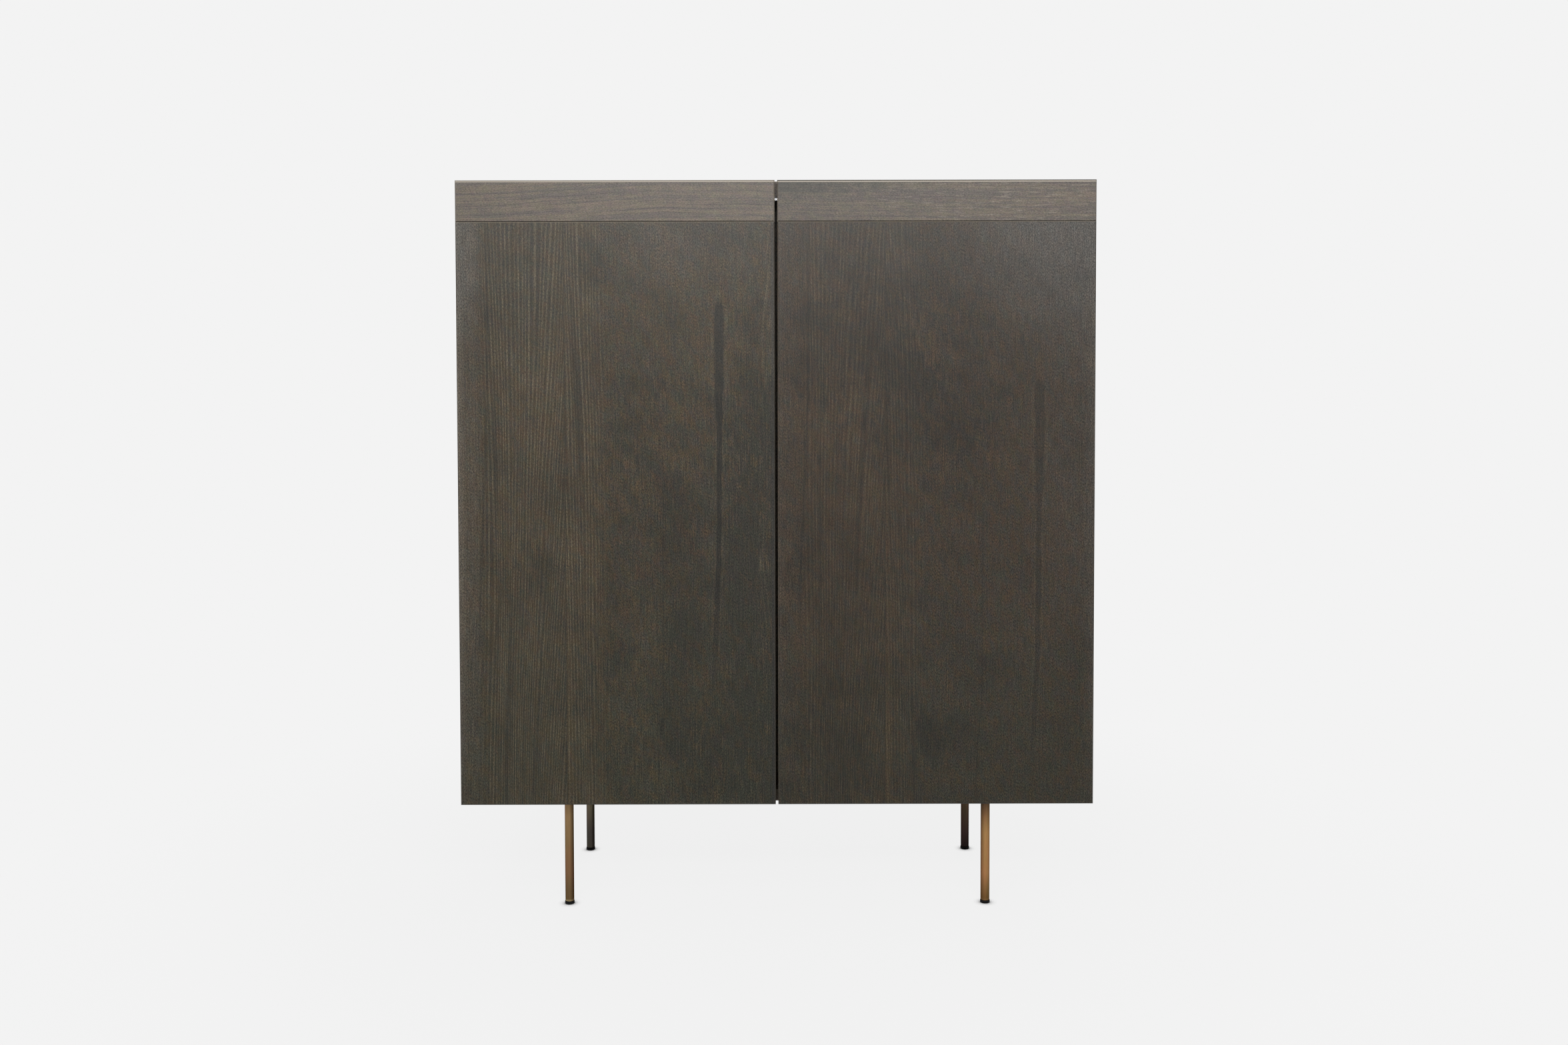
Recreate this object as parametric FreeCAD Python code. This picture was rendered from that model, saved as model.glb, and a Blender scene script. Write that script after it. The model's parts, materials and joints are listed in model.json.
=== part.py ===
import FreeCAD, Part
import math
import os

Vector = FreeCAD.Vector

# Free-standing bar cabinet on four round legs, with two handleless doors.
# Millimetres, +Z up, +X to the right seen from the front, which faces -Y.
# The origin is on the floor, under the middle of the cabinet.

# Overall form
cabinet_width = 1200.0
cabinet_depth = 450.0
leg_height = 215.0          # floor to the underside of case and doors
door_height = 1180.0

# Flat sides of small pieces that repeat
screw_sides = 6
dowel_sides = 6
pin_hole_sides = 6          # hole round a hinge pin
cup_sides = 16
knuckle_sides = 12

# Doors
door_thickness = 20.0
door_centre_gap = 5.0
door_case_gap = 4.0         # air between a closed door and the case
band_height = 77.5          # band of horizontal grain on top of each door
groove_size = 1.5           # width and depth of each half of the V groove
front_ease = 2.0            # chamfer round the front of each door
hinge_edge_ease = 1.5       # chamfer on the back corner that swings towards the case

# Case
top_thickness = 30.0
bottom_thickness = 22.0
side_thickness = 18.0
divider_thickness = 18.0
back_thickness = 8.0
case_ease = 1.0
back_inset = 10.0           # back panel in front of the back of the case
groove_depth = 9.0          # how far the back panel enters the panels round it
back_fit = 0.3              # air round and behind the back panel in its groove
inner_front_distance = 60.0        # divider, counter and shelves behind the front of the case
dowel_radius = 4.0
dowel_length = 24.0
dowel_end_distance = 60.0

# Shelves
shelf_thickness = 18.0
shelf_side_fit = 1.0
shelf_back_fit = 2.0
left_shelf_names = ["left_shelf_lower", "left_shelf_middle", "left_shelf_upper"]
glass_thickness = 8.0
glass_shelf_height = 280.0          # underside of the glass shelf above the counter
glass_swing_gap = 12.0      # between the glass and the leaf as it swings past
pin_radius = 2.5
pin_length = 17.0
pin_hole_depth = 8.5
pin_rest_gap = 0.05         # between a pin and the shelf on it
pin_end_distance = 35.0     # from the front and back of each shelf

# Counter and the leaf that folds out of it
counter_height = 880.0      # floor to the top of the counter
counter_thickness = 18.0
leaf_thickness = 18.0
leaf_back_distance = 28.0   # between the folded leaf and the back panel
leaf_side_margin = 46.5     # between the leaf and the sides of its bay
leaf_rest_gap = 0.3         # between the folded leaf and the counter
leaf_butt_gap = 0.3         # each edge stands this far from the plane of the hinges
leaf_ease = 1.0
notch_radius = 24.0         # finger notch in the free edge of the leaf
notch_depth = 14.0

# Butt hinges of the leaf
butt_length = 60.0
butt_height = 14.0          # hinge axis to the far edge of a plate
butt_plate_thickness = 1.5
butt_knuckle_radius = 3.0
butt_knuckle_count = 3
butt_knuckle_gap = 0.3
butt_pin_radius = 1.5
butt_pin_fit = 0.05
butt_relief_gap = 0.4           # room for the knuckles in the wood
butt_side_distance = 80.0   # side of the leaf to the middle of a hinge
butt_screw_spacing = 40.0
butt_screw_drop = 9.0
butt_screw_radius = 1.4
butt_screw_head = 2.6
butt_screw_length = 13.0

# Concealed hinges: three on each door, each a cup in the door and an arm on the case
hinge_low_distance = 110.0  # underside of the door to the lowest hinge
hinge_high_distance = 120.0 # door top to the highest hinge
hinge_count = 3
hinge_names = ["lower", "middle", "upper"]
cup_radius = 17.5
cup_wall = 1.2
cup_depth = 14.7
cup_edge_distance = 3.0     # outer edge of the door to the rim of the cup
cup_fit = 0.1
wing_thickness = 1.0
wing_width = 16.0
wing_length = 62.0
wing_offset = 6.5           # middle of the wings beyond the middle of the cup
cup_screw_spacing = 49.0
axis_inset = 9.0            # outer edge of the door to the hinge axis
axis_depth = 10.0           # back of the door to the hinge axis
hinge_pin_radius = 1.5
hinge_pin_half_length = 10.5
hinge_pin_fit = 0.05
lug_gap = 0.4               # between the arm and the lugs that hold the pin
lug_radius = 3.4
eye_radius = 2.8
strap_thickness = 2.0
strap_width = 10.0
strap_distance = 21.0          # hinge axis to the near face of the strap's long leg
strap_bend_radius = 6.0
channel_front_distance = 4.0       # front of the case to the channel of the arm
channel_length = 48.0
channel_width = 16.0
channel_wall = 1.5
plate_thickness = 2.5
plate_width = 14.0
plate_length = 48.0
plate_screw_distance = 37.0           # front of the case to the screws of the plate
plate_gap = 0.5             # between the base of the plate and the channel's rims
plate_screw_spacing = 32.0
plate_screw_length = 14.0
slider_length = 38.0        # raised part of the plate, inside the channel
slider_fit = 0.2
hinge_screw_radius = 1.75
hinge_screw_head = 3.4
cup_screw_length = 13.0
arm_screw_radius = 2.0
arm_screw_head = 3.5
arm_screw_head_height = 2.0
arm_screw_length = 8.0

# Push-to-open latch with a plunger for each door
latch_width = 64.0
latch_depth = 44.0
latch_height = 13.5
latch_exposed_height = 5.5         # part of the housing below the top panel
latch_lip_thickness = 4.0             # wood of the top panel in front of the housing
latch_corner_size = 3.0
latch_screw_inset = 5.5
latch_screw_length = 24.0
plunger_radius = 1.8
plunger_spacing = 36.0
plunger_length = 46.0
plunger_bore_depth = 40.0
plunger_fit = 0.05
plunger_tip_gap = 0.3
plunger_ease = 0.5
strike_radius = 8.0
strike_thickness = 1.0
strike_stem_radius = 2.0
strike_stem_length = 9.0

# Legs
leg_radius = 8.6
leg_inset_x = 195.0         # side of the cabinet to a leg's axis
leg_inset_y = 70.0          # front and back of the cabinet to a leg's axis
leg_ease = 0.8
glide_height = 5.5
glide_radius = 9.5
glide_ease = 0.8
glide_spigot_radius = 5.0
glide_spigot_length = 11.0
leg_plate_size = 60.0
leg_plate_thickness = 3.0
leg_screw_inset = 8.0
leg_screw_radius = 2.0
leg_screw_head = 4.0
leg_screw_length = 16.0
stud_radius = 4.0
stud_length = 18.0
bore_clearance = 0.05
bore_spare_depth = 2.0

# Planes that follow from the sizes above
half_width = cabinet_width / 2
door_front = -cabinet_depth / 2
door_back = door_front + door_thickness
door_bottom = leg_height
door_top = leg_height + door_height
band_bottom = door_top - band_height
door_inner_side = door_centre_gap / 2
case_front = door_back + door_case_gap
case_back = cabinet_depth / 2
case_bottom = leg_height
case_top = door_top
floor_top = case_bottom + bottom_thickness
ceiling = case_top - top_thickness
side_inner = half_width - side_thickness
divider_side = divider_thickness / 2
inner_front = case_front + inner_front_distance
back_outer = case_back - back_inset
back_inner = back_outer - back_thickness
counter_bottom = counter_height - counter_thickness
leaf_depth = back_inner - inner_front - leaf_back_distance


def block(x0, x1, y0, y1, z0, z1):
    return Part.makeBox(x1 - x0, y1 - y0, z1 - z0, Vector(x0, y0, z0))


def turned(outline, at, direction):
    # outline is a list of (radius, distance along the axis), revolved about the axis
    points = [Vector(radius, 0, height) for radius, height in outline]
    face = Part.Face(Part.makePolygon(points + points[:1]))
    solid = face.revolve(Vector(0, 0, 0), Vector(0, 0, 1), 360)
    solid.Placement = FreeCAD.Placement(at, FreeCAD.Rotation(Vector(0, 0, 1), direction))
    return solid


def rod(radius, length, at, direction):
    return Part.makeCylinder(radius, length, at, direction)


def faceted(sections, sides, at, direction):
    # flat-sided form of a small turned piece, from its (radius, distance) sections
    rings = []
    for radius, height in sections:
        ring = []
        for index in range(sides):
            angle = 2 * math.pi * index / sides
            ring.append(Vector(radius * math.cos(angle), radius * math.sin(angle), height))
        rings.append(ring)
    outlines = [rings[0], rings[-1]]
    for low, high in zip(rings, rings[1:]):
        for index in range(sides):
            other = (index + 1) % sides
            outlines.append([low[index], low[other], high[other], high[index]])
    faces = [Part.Face(Part.makePolygon(outline + outline[:1])) for outline in outlines]
    solid = Part.Solid(Part.Shell(faces))
    solid.Placement = FreeCAD.Placement(at, FreeCAD.Rotation(Vector(0, 0, 1), direction))
    return solid


def prism(radius, length, sides, at, direction):
    return faceted([(radius, 0), (radius, length)], sides, at, direction)


def round_hole(radius, sides):
    # corner radius of a flat-sided hole that clears a round of this radius
    return radius / math.cos(math.pi / sides)


def countersunk_screw(head, radius, length, at, direction):
    # at is the middle of the head's flat face, direction is the way it is driven
    return faceted([(head, 0), (radius, head - radius), (radius, length)], screw_sides, at, direction)


def hinge_screw(length, at, direction):
    return countersunk_screw(hinge_screw_head, hinge_screw_radius, length, at, direction)


def less(solid, tools):
    return solid.cut(Part.makeCompound(tools)).Solids[0]


def joined(solids):
    return solids[0].fuse(solids[1:]).removeSplitter().Solids[0]


def mirrored(solids):
    return [solid.mirror(Vector(0, 0, 0), Vector(1, 0, 0)) for solid in solids]


def chamfered(solid, size, wanted):
    edges = [edge for edge in solid.Edges if wanted(edge.CenterOfMass)]
    return solid.makeChamfer(size, edges)


def clipped(solid, size, direction):
    # chamfers the straight edges that run along the direction
    edges = [edge for edge in solid.Edges if abs(edge.tangentAt(edge.FirstParameter).dot(direction)) > 0.99]
    return solid.makeChamfer(size, edges)


def near(value, target):
    return abs(value - target) < 0.01


def spread(low, high, count):
    return [low + (high - low) * index / (count - 1) for index in range(count)]


def save(name, solids):
    shape = solids[0] if len(solids) == 1 else Part.makeCompound(solids)
    if not shape.isValid():
        raise ValueError(name + " is not a valid shape")
    shape.exportStep(os.path.join("parts", name + ".step"))


# Concealed hinges. Each is worked out for the right door in the hinge's own terms:
# u inwards from the outer edge of the door, d forwards from the back of the door, z up.

def hinge_point(u, d, z):
    return Vector(half_width - u, door_back - d, z)


def hinge_block(u0, u1, d0, d1, z0, z1):
    return block(half_width - u1, half_width - u0, door_back - d1, door_back - d0, z0, z1)


def hinge_heights():
    return spread(door_bottom + hinge_low_distance, door_top - hinge_high_distance, hinge_count)


into_door = Vector(0, -1, 0)
backwards = Vector(0, 1, 0)
into_side = Vector(1, 0, 0)
upwards = Vector(0, 0, 1)
cup_middle = cup_edge_distance + cup_radius
wing_middle = cup_middle + wing_offset


def hinge_cup_bore(z):
    return prism(cup_radius + cup_fit, cup_depth, cup_sides, hinge_point(cup_middle, 0, z), into_door)


def hinge_cup_screws(z):
    screws = []
    for side in (-1, 1):
        at = hinge_point(wing_middle, -wing_thickness, z + side * cup_screw_spacing / 2)
        screws.append(hinge_screw(cup_screw_length, at, into_door))
    return screws


def hinge_pin(z):
    at = hinge_point(axis_inset, axis_depth, z - hinge_pin_half_length)
    return rod(hinge_pin_radius, 2 * hinge_pin_half_length, at, upwards)


def hinge_pin_hole(z, clearance):
    at = hinge_point(axis_inset, axis_depth, z - hinge_pin_half_length)
    radius = round_hole(hinge_pin_radius + clearance, pin_hole_sides)
    return prism(radius, 2 * hinge_pin_half_length, pin_hole_sides, at, upwards)


def hinge_cup(z):
    inner = cup_radius - cup_wall
    floor = cup_depth - cup_wall
    outer = prism(cup_radius, cup_depth, cup_sides, hinge_point(cup_middle, 0, z), into_door)
    wings = hinge_block(wing_middle - wing_width / 2, wing_middle + wing_width / 2,
                        -wing_thickness, 0, z - wing_length / 2, z + wing_length / 2)
    mouth_start = hinge_point(cup_middle, -wing_thickness, z)
    mouth = prism(inner, floor + wing_thickness, cup_sides, mouth_start, into_door)
    bowl = less(joined([outer, wings]), [mouth])
    lug_start = strap_width / 2 + lug_gap
    lugs = []
    for low, high in ((-hinge_pin_half_length, -lug_start), (lug_start, hinge_pin_half_length)):
        lug = hinge_block(axis_inset - lug_radius, axis_inset + lug_radius,
                          axis_depth - lug_radius, floor, z + low, z + high)
        lugs.append(lug.common(outer).Solids[0])
    cup = joined([bowl] + lugs)
    return less(cup, [hinge_pin_hole(z, 0)] + hinge_cup_screws(z))


def hinge_strap(z):
    # flat strap that leaves the eye along its top, turns and runs back out of the cup
    top = eye_radius
    near_face = strap_distance
    far_face = strap_distance + strap_thickness
    bend_u = far_face - strap_bend_radius
    bend_d = top - strap_bend_radius
    back = -(axis_depth + door_case_gap + channel_front_distance)
    outer_mid = strap_bend_radius * math.sqrt(0.5)
    inner_mid = (strap_bend_radius - strap_thickness) * math.sqrt(0.5)

    def at(u, d):
        return hinge_point(axis_inset + u, axis_depth + d, z - strap_width / 2)

    edges = [
        Part.makeLine(at(0, top), at(bend_u, top)),
        Part.Arc(at(bend_u, top), at(bend_u + outer_mid, bend_d + outer_mid), at(far_face, bend_d)).toShape(),
        Part.makeLine(at(far_face, bend_d), at(far_face, back)),
        Part.makeLine(at(far_face, back), at(near_face, back)),
        Part.makeLine(at(near_face, back), at(near_face, bend_d)),
        Part.Arc(at(near_face, bend_d), at(bend_u + inner_mid, bend_d + inner_mid),
                 at(bend_u, top - strap_thickness)).toShape(),
        Part.makeLine(at(bend_u, top - strap_thickness), at(0, top - strap_thickness)),
        Part.makeLine(at(0, top - strap_thickness), at(0, top)),
    ]
    return Part.Face(Part.Wire(edges)).extrude(Vector(0, 0, strap_width))


def hinge_channel(z):
    # U-shaped channel that clips over the mounting plate
    web = axis_inset + strap_distance
    rim = side_thickness + plate_thickness + plate_gap
    front = case_front + channel_front_distance
    half = channel_width / 2
    inner_half = half - channel_wall
    outer_web = web + strap_thickness
    outline = [
        (rim, -half), (outer_web, -half), (outer_web, half), (rim, half),
        (rim, inner_half), (web, inner_half), (web, -inner_half), (rim, -inner_half),
    ]
    points = [Vector(half_width - u, front, z + rise) for u, rise in outline]
    face = Part.Face(Part.makePolygon(points + points[:1]))
    return face.extrude(Vector(0, channel_length, 0))


def hinge_arm_screw(z):
    start = axis_inset + strap_distance + strap_thickness
    at = Vector(half_width - start - arm_screw_head_height, case_front + plate_screw_distance, z)
    tip = arm_screw_head_height + arm_screw_length
    sections = [
        (arm_screw_head, 0), (arm_screw_head, arm_screw_head_height),
        (arm_screw_radius, arm_screw_head_height), (arm_screw_radius, tip),
    ]
    return faceted(sections, screw_sides, at, into_side)


def hinge_arm(z):
    eye = prism(round_hole(eye_radius, knuckle_sides), strap_width, knuckle_sides,
                hinge_point(axis_inset, axis_depth, z - strap_width / 2), upwards)
    arm = joined([eye, hinge_strap(z), hinge_channel(z)])
    return less(arm, [hinge_pin_hole(z, hinge_pin_fit), hinge_arm_screw(z)])


def hinge_plate_screws(z):
    screws = []
    for height in (z - plate_screw_spacing / 2, z + plate_screw_spacing / 2):
        at = Vector(side_inner - plate_thickness, case_front + plate_screw_distance, height)
        screws.append(hinge_screw(plate_screw_length, at, into_side))
    return screws


def hinge_plate(z):
    line = case_front + plate_screw_distance
    base = block(side_inner - plate_thickness, side_inner, line - plate_width / 2, line + plate_width / 2,
                 z - plate_length / 2, z + plate_length / 2)
    slider_half = channel_width / 2 - channel_wall - slider_fit
    slider = block(half_width - axis_inset - strap_distance + slider_fit, side_inner,
                   line - slider_length / 2, line + slider_length / 2, z - slider_half, z + slider_half)
    plate = joined([base, slider])
    return less(plate, hinge_plate_screws(z) + [hinge_arm_screw(z)])


def save_hinges():
    heights = hinge_heights()
    for side, place in (("right", list), ("left", mirrored)):
        for name, z in zip(hinge_names, heights):
            save(side + "_hinge_cup_" + name, place([hinge_cup(z)]))
            save(side + "_hinge_arm_" + name, place([hinge_arm(z)]))
        save(side + "_hinge_pins", place([hinge_pin(z) for z in heights]))
        save(side + "_hinge_plates", place([hinge_plate(z) for z in heights]))
        save(side + "_hinge_cup_screws", place([screw for z in heights for screw in hinge_cup_screws(z)]))
    plate_screws = [screw for z in heights for screw in hinge_plate_screws(z)]
    arm_screws = [hinge_arm_screw(z) for z in heights]
    save("hinge_plate_screws", plate_screws + mirrored(plate_screws))
    save("hinge_arm_screws", arm_screws + mirrored(arm_screws))


# Push-to-open latch

latch_bottom = ceiling - latch_exposed_height
plunger_height = ceiling - latch_exposed_height / 2
latch_front = case_front + latch_lip_thickness
plunger_tip = door_back + plunger_tip_gap


def latch_body(bottom):
    body = block(-latch_width / 2, latch_width / 2, latch_front, latch_front + latch_depth,
                 bottom, latch_bottom + latch_height)
    return clipped(body, latch_corner_size, upwards)


def latch_screws():
    y = latch_front + latch_depth / 2
    x = latch_width / 2 - latch_screw_inset
    return [hinge_screw(latch_screw_length, Vector(place, y, latch_bottom), upwards) for place in (-x, x)]


def latch_housing():
    bores = [
        prism(plunger_radius + plunger_fit, plunger_bore_depth, knuckle_sides,
              Vector(x, latch_front, plunger_height), backwards)
        for x in (-plunger_spacing / 2, plunger_spacing / 2)
    ]
    return less(latch_body(latch_bottom), bores + latch_screws())


def latch_plunger():
    tip_radius = plunger_radius - plunger_ease
    sections = [(tip_radius, 0), (plunger_radius, plunger_ease), (plunger_radius, plunger_length)]
    at = Vector(plunger_spacing / 2, plunger_tip, plunger_height)
    return faceted(sections, knuckle_sides, at, backwards)


def strike_plate():
    sections = [
        (strike_radius, 0), (strike_radius, strike_thickness),
        (strike_stem_radius, strike_thickness), (strike_stem_radius, strike_stem_length),
    ]
    return faceted(sections, knuckle_sides, Vector(plunger_spacing / 2, door_back, plunger_height), into_door)


def save_latch():
    save("latch_housing", [latch_housing()])
    save("latch_screws", latch_screws())
    for side, place in (("right", list), ("left", mirrored)):
        save(side + "_latch_plunger", place([latch_plunger()]))
        save(side + "_strike_plate", place([strike_plate()]))


# Doors

def ease_door(solid, low_edge, low_size, high_edge, high_size):
    solid = chamfered(solid, low_size, lambda c: near(c.y, door_front) and near(c.z, low_edge))
    solid = chamfered(solid, high_size, lambda c: near(c.y, door_front) and near(c.z, high_edge))
    solid = chamfered(solid, front_ease, lambda c: near(c.y, door_front) and
                      (near(c.x, door_inner_side) or near(c.x, half_width)))
    return chamfered(solid, hinge_edge_ease, lambda c: near(c.y, door_back) and near(c.x, half_width))


def door_panel():
    panel = block(door_inner_side, half_width, door_front, door_back, door_bottom, band_bottom)
    panel = ease_door(panel, door_bottom, front_ease, band_bottom, groove_size)
    tools = [hinge_cup_bore(z) for z in hinge_heights()]
    tools += [screw for z in hinge_heights() for screw in hinge_cup_screws(z)]
    return less(panel, tools)


def door_band():
    band = block(door_inner_side, half_width, door_front, door_back, band_bottom, door_top)
    band = ease_door(band, band_bottom, groove_size, door_top, front_ease)
    return less(band, [strike_plate()])


def save_doors():
    for side, place in (("right", list), ("left", mirrored)):
        save(side + "_door_panel", place([door_panel()]))
        save(side + "_door_band", place([door_band()]))


# Case

def dowel(at, direction):
    return prism(dowel_radius, dowel_length, dowel_sides, at, direction)


def case_dowels():
    rows = []
    ends = (case_front + dowel_end_distance, case_back - dowel_end_distance)
    side_middle = half_width - side_thickness / 2
    for x in (-side_middle, side_middle):
        rows += [(x, y) for y in ends]
    rows += [(0, y) for y in (inner_front + dowel_end_distance, ends[1])]
    return [dowel(Vector(x, y, z - dowel_length / 2), upwards) for x, y in rows for z in (floor_top, ceiling)]


def counter_dowels():
    z = (counter_bottom + counter_height) / 2
    starts = (divider_side - dowel_length / 2, side_inner - dowel_length / 2)
    lines = (inner_front + dowel_end_distance, case_back - dowel_end_distance)
    return [dowel(Vector(x, y, z), into_side) for x in starts for y in lines]


def back_groove():
    reach = side_inner + groove_depth
    return block(-reach, reach, back_inner, back_outer + back_fit,
                 floor_top - groove_depth, ceiling + groove_depth)


def back_panel():
    reach = side_inner + groove_depth - back_fit
    return block(-reach, reach, back_inner, back_outer,
                 floor_top - groove_depth + back_fit, ceiling + groove_depth - back_fit)


def pins_under(low_x, high_x, front, bottom):
    # the four pins under a shelf, each halfway into an upright
    z = bottom - pin_radius - pin_rest_gap
    starts = (low_x - pin_hole_depth, high_x + pin_hole_depth - pin_length)
    lines = (front + pin_end_distance, shelf_back - pin_end_distance)
    spots = [Vector(x, y, z) for x in starts for y in lines]
    return [prism(pin_radius, pin_length, dowel_sides, spot, into_side) for spot in spots]


def left_shelf_bottoms():
    pitch = (ceiling - floor_top) / (len(left_shelf_names) + 1)
    return [floor_top + pitch * (index + 1) - shelf_thickness / 2 for index in range(len(left_shelf_names))]


shelf_back = back_inner - shelf_back_fit
right_shelf_bottom = (floor_top + counter_bottom - shelf_thickness) / 2
leaf_swing = math.hypot(leaf_depth, leaf_thickness + leaf_rest_gap)
glass_bottom = counter_height + glass_shelf_height
glass_front = inner_front + math.sqrt(max(leaf_swing ** 2 - glass_shelf_height ** 2, 0)) + glass_swing_gap


def shelf_pins():
    pins = pins_under(divider_side, side_inner, inner_front, right_shelf_bottom)
    for bottom in left_shelf_bottoms():
        pins += pins_under(-side_inner, -divider_side, inner_front, bottom)
    return pins


def glass_shelf_pins():
    return pins_under(divider_side, side_inner, glass_front, glass_bottom)


def save_case():
    dowels = case_dowels()
    counter_ties = counter_dowels()
    pins = shelf_pins()
    glass_pins = glass_shelf_pins()
    groove = back_groove()
    leg_ties = leg_plate_screws()
    plate_screws = [screw for z in hinge_heights() for screw in hinge_plate_screws(z)]

    top = block(-half_width, half_width, case_front, case_back, ceiling, case_top)
    top = chamfered(top, case_ease, lambda c: near(c.z, case_top))
    save("top_panel", [less(top, [latch_body(ceiling), groove] + latch_screws() + dowels)])

    bottom = block(-half_width, half_width, case_front, case_back, case_bottom, floor_top)
    bottom = chamfered(bottom, case_ease, lambda c: near(c.z, case_bottom))
    save("bottom_panel", [less(bottom, [groove] + dowels + leg_ties)])

    right_side = block(side_inner, half_width, case_front, case_back, floor_top, ceiling)
    left_side = mirrored([right_side])[0]
    right_tools = [groove] + dowels + counter_ties + pins + glass_pins + plate_screws
    save("right_side_panel", [less(right_side, right_tools)])
    save("left_side_panel", [less(left_side, [groove] + dowels + pins + mirrored(plate_screws))])

    divider = block(-divider_side, divider_side, inner_front, back_inner, floor_top, ceiling)
    save("centre_divider", [less(divider, dowels + counter_ties + pins + glass_pins)])

    save("back_panel", [back_panel()])
    save("case_dowels", dowels + counter_ties)
    save("shelf_pins", pins)
    save("glass_shelf_pins", glass_pins)


def save_shelves():
    for name, bottom in zip(left_shelf_names, left_shelf_bottoms()):
        shelf = block(shelf_side_fit - side_inner, -divider_side - shelf_side_fit, inner_front, shelf_back,
                      bottom, bottom + shelf_thickness)
        save(name, [shelf])
    left = divider_side + shelf_side_fit
    right = side_inner - shelf_side_fit
    save("right_shelf_lower", [block(left, right, inner_front, shelf_back,
                                     right_shelf_bottom, right_shelf_bottom + shelf_thickness)])
    glass = block(left, right, glass_front, shelf_back, glass_bottom, glass_bottom + glass_thickness)
    save("glass_shelf", [chamfered(glass, leaf_ease, lambda c: near(c.y, glass_front))])


# Counter, leaf and the butt hinges between them

leaf_left = divider_side + leaf_side_margin
leaf_right = side_inner - leaf_side_margin
leaf_edge = inner_front + leaf_butt_gap
leaf_bottom = counter_height + leaf_rest_gap / 2
counter_top = counter_height - leaf_rest_gap / 2
butt_middles = (leaf_left + butt_side_distance, leaf_right - butt_side_distance)


def butt_knuckles(middle, indexes, radius):
    pitch = (butt_length + butt_knuckle_gap) / butt_knuckle_count
    start = middle - butt_length / 2
    return [
        prism(radius, pitch - butt_knuckle_gap, knuckle_sides,
              Vector(start + pitch * index, inner_front, counter_height), into_side)
        for index in indexes
    ]


def butt_plate_block(x0, x1, side, near_edge):
    # side is 1 above the axis, for the leaf, and -1 below it, for the counter
    heights = sorted([counter_height + side * near_edge, counter_height + side * butt_height])
    return block(x0, x1, leaf_edge, leaf_edge + butt_plate_thickness, heights[0], heights[1])


def butt_pin(middle):
    at = Vector(middle - butt_length / 2, inner_front, counter_height)
    return rod(butt_pin_radius, butt_length, at, into_side)


def butt_pin_hole(middle, clearance):
    at = Vector(middle - butt_length / 2, inner_front, counter_height)
    radius = round_hole(butt_pin_radius + clearance, pin_hole_sides)
    return prism(radius, butt_length, pin_hole_sides, at, into_side)


def butt_screws(middle, side):
    z = counter_height + side * butt_screw_drop
    shifts = (-butt_screw_spacing / 2, butt_screw_spacing / 2)
    return [
        countersunk_screw(butt_screw_head, butt_screw_radius, butt_screw_length,
                          Vector(middle + shift, leaf_edge, z), backwards)
        for shift in shifts
    ]


def butt_half(middle, side, indexes, pin_clearance):
    clear_of_knuckles = butt_knuckle_radius + butt_relief_gap
    parts = [butt_plate_block(middle - butt_length / 2, middle + butt_length / 2, side, clear_of_knuckles)]
    for knuckle in butt_knuckles(middle, indexes, butt_knuckle_radius):
        box = knuckle.BoundBox
        parts.append(butt_plate_block(box.XMin, box.XMax, side, butt_pin_radius))
        parts.append(knuckle)
    return less(joined(parts), [butt_pin_hole(middle, pin_clearance)] + butt_screws(middle, side))


def butt_room(middle, side):
    # what is cut out of the wood for one hinge: a mortise for the plate, a hollow for the knuckles
    start = Vector(middle - butt_length / 2 - butt_relief_gap, inner_front, counter_height)
    radius = round_hole(butt_knuckle_radius + butt_relief_gap, dowel_sides)
    hollow = prism(radius, butt_length + 2 * butt_relief_gap, dowel_sides, start, into_side)
    mortise = butt_plate_block(middle - butt_length / 2, middle + butt_length / 2, side, 0)
    return [hollow, mortise] + butt_screws(middle, side)


def leaf():
    top = leaf_bottom + leaf_thickness
    free_edge = inner_front + leaf_depth
    panel = block(leaf_left, leaf_right, leaf_edge, free_edge, leaf_bottom, top)
    panel = chamfered(panel, leaf_ease, lambda c: near(c.z, top) and not near(c.y, leaf_edge))
    notch_middle = Vector((leaf_left + leaf_right) / 2, free_edge + notch_radius - notch_depth, leaf_bottom)
    notch = rod(notch_radius, leaf_thickness, notch_middle, upwards)
    return less(panel, [notch] + [tool for middle in butt_middles for tool in butt_room(middle, 1)])


def counter():
    panel = block(divider_side, side_inner, leaf_edge, back_inner, counter_bottom, counter_top)
    return less(panel, [tool for middle in butt_middles for tool in butt_room(middle, -1)] + counter_dowels())


def save_counter():
    fixed = range(0, butt_knuckle_count, 2)
    moving = range(1, butt_knuckle_count, 2)
    save("counter", [counter()])
    save("fold_out_leaf", [leaf()])
    save("leaf_hinge_counter_plates", [butt_half(middle, -1, fixed, 0) for middle in butt_middles])
    save("leaf_hinge_leaf_plates", [butt_half(middle, 1, moving, butt_pin_fit) for middle in butt_middles])
    save("leaf_hinge_pins", [butt_pin(middle) for middle in butt_middles])
    save("leaf_hinge_counter_screws", [screw for middle in butt_middles for screw in butt_screws(middle, -1)])
    save("leaf_hinge_leaf_screws", [screw for middle in butt_middles for screw in butt_screws(middle, 1)])


# Legs

def leg_spots():
    x = half_width - leg_inset_x
    y = cabinet_depth / 2 - leg_inset_y
    return {
        "leg_front_left": Vector(-x, -y, 0),
        "leg_front_right": Vector(x, -y, 0),
        "leg_back_left": Vector(-x, y, 0),
        "leg_back_right": Vector(x, y, 0),
    }


leg_top = case_bottom - leg_plate_thickness


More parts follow.
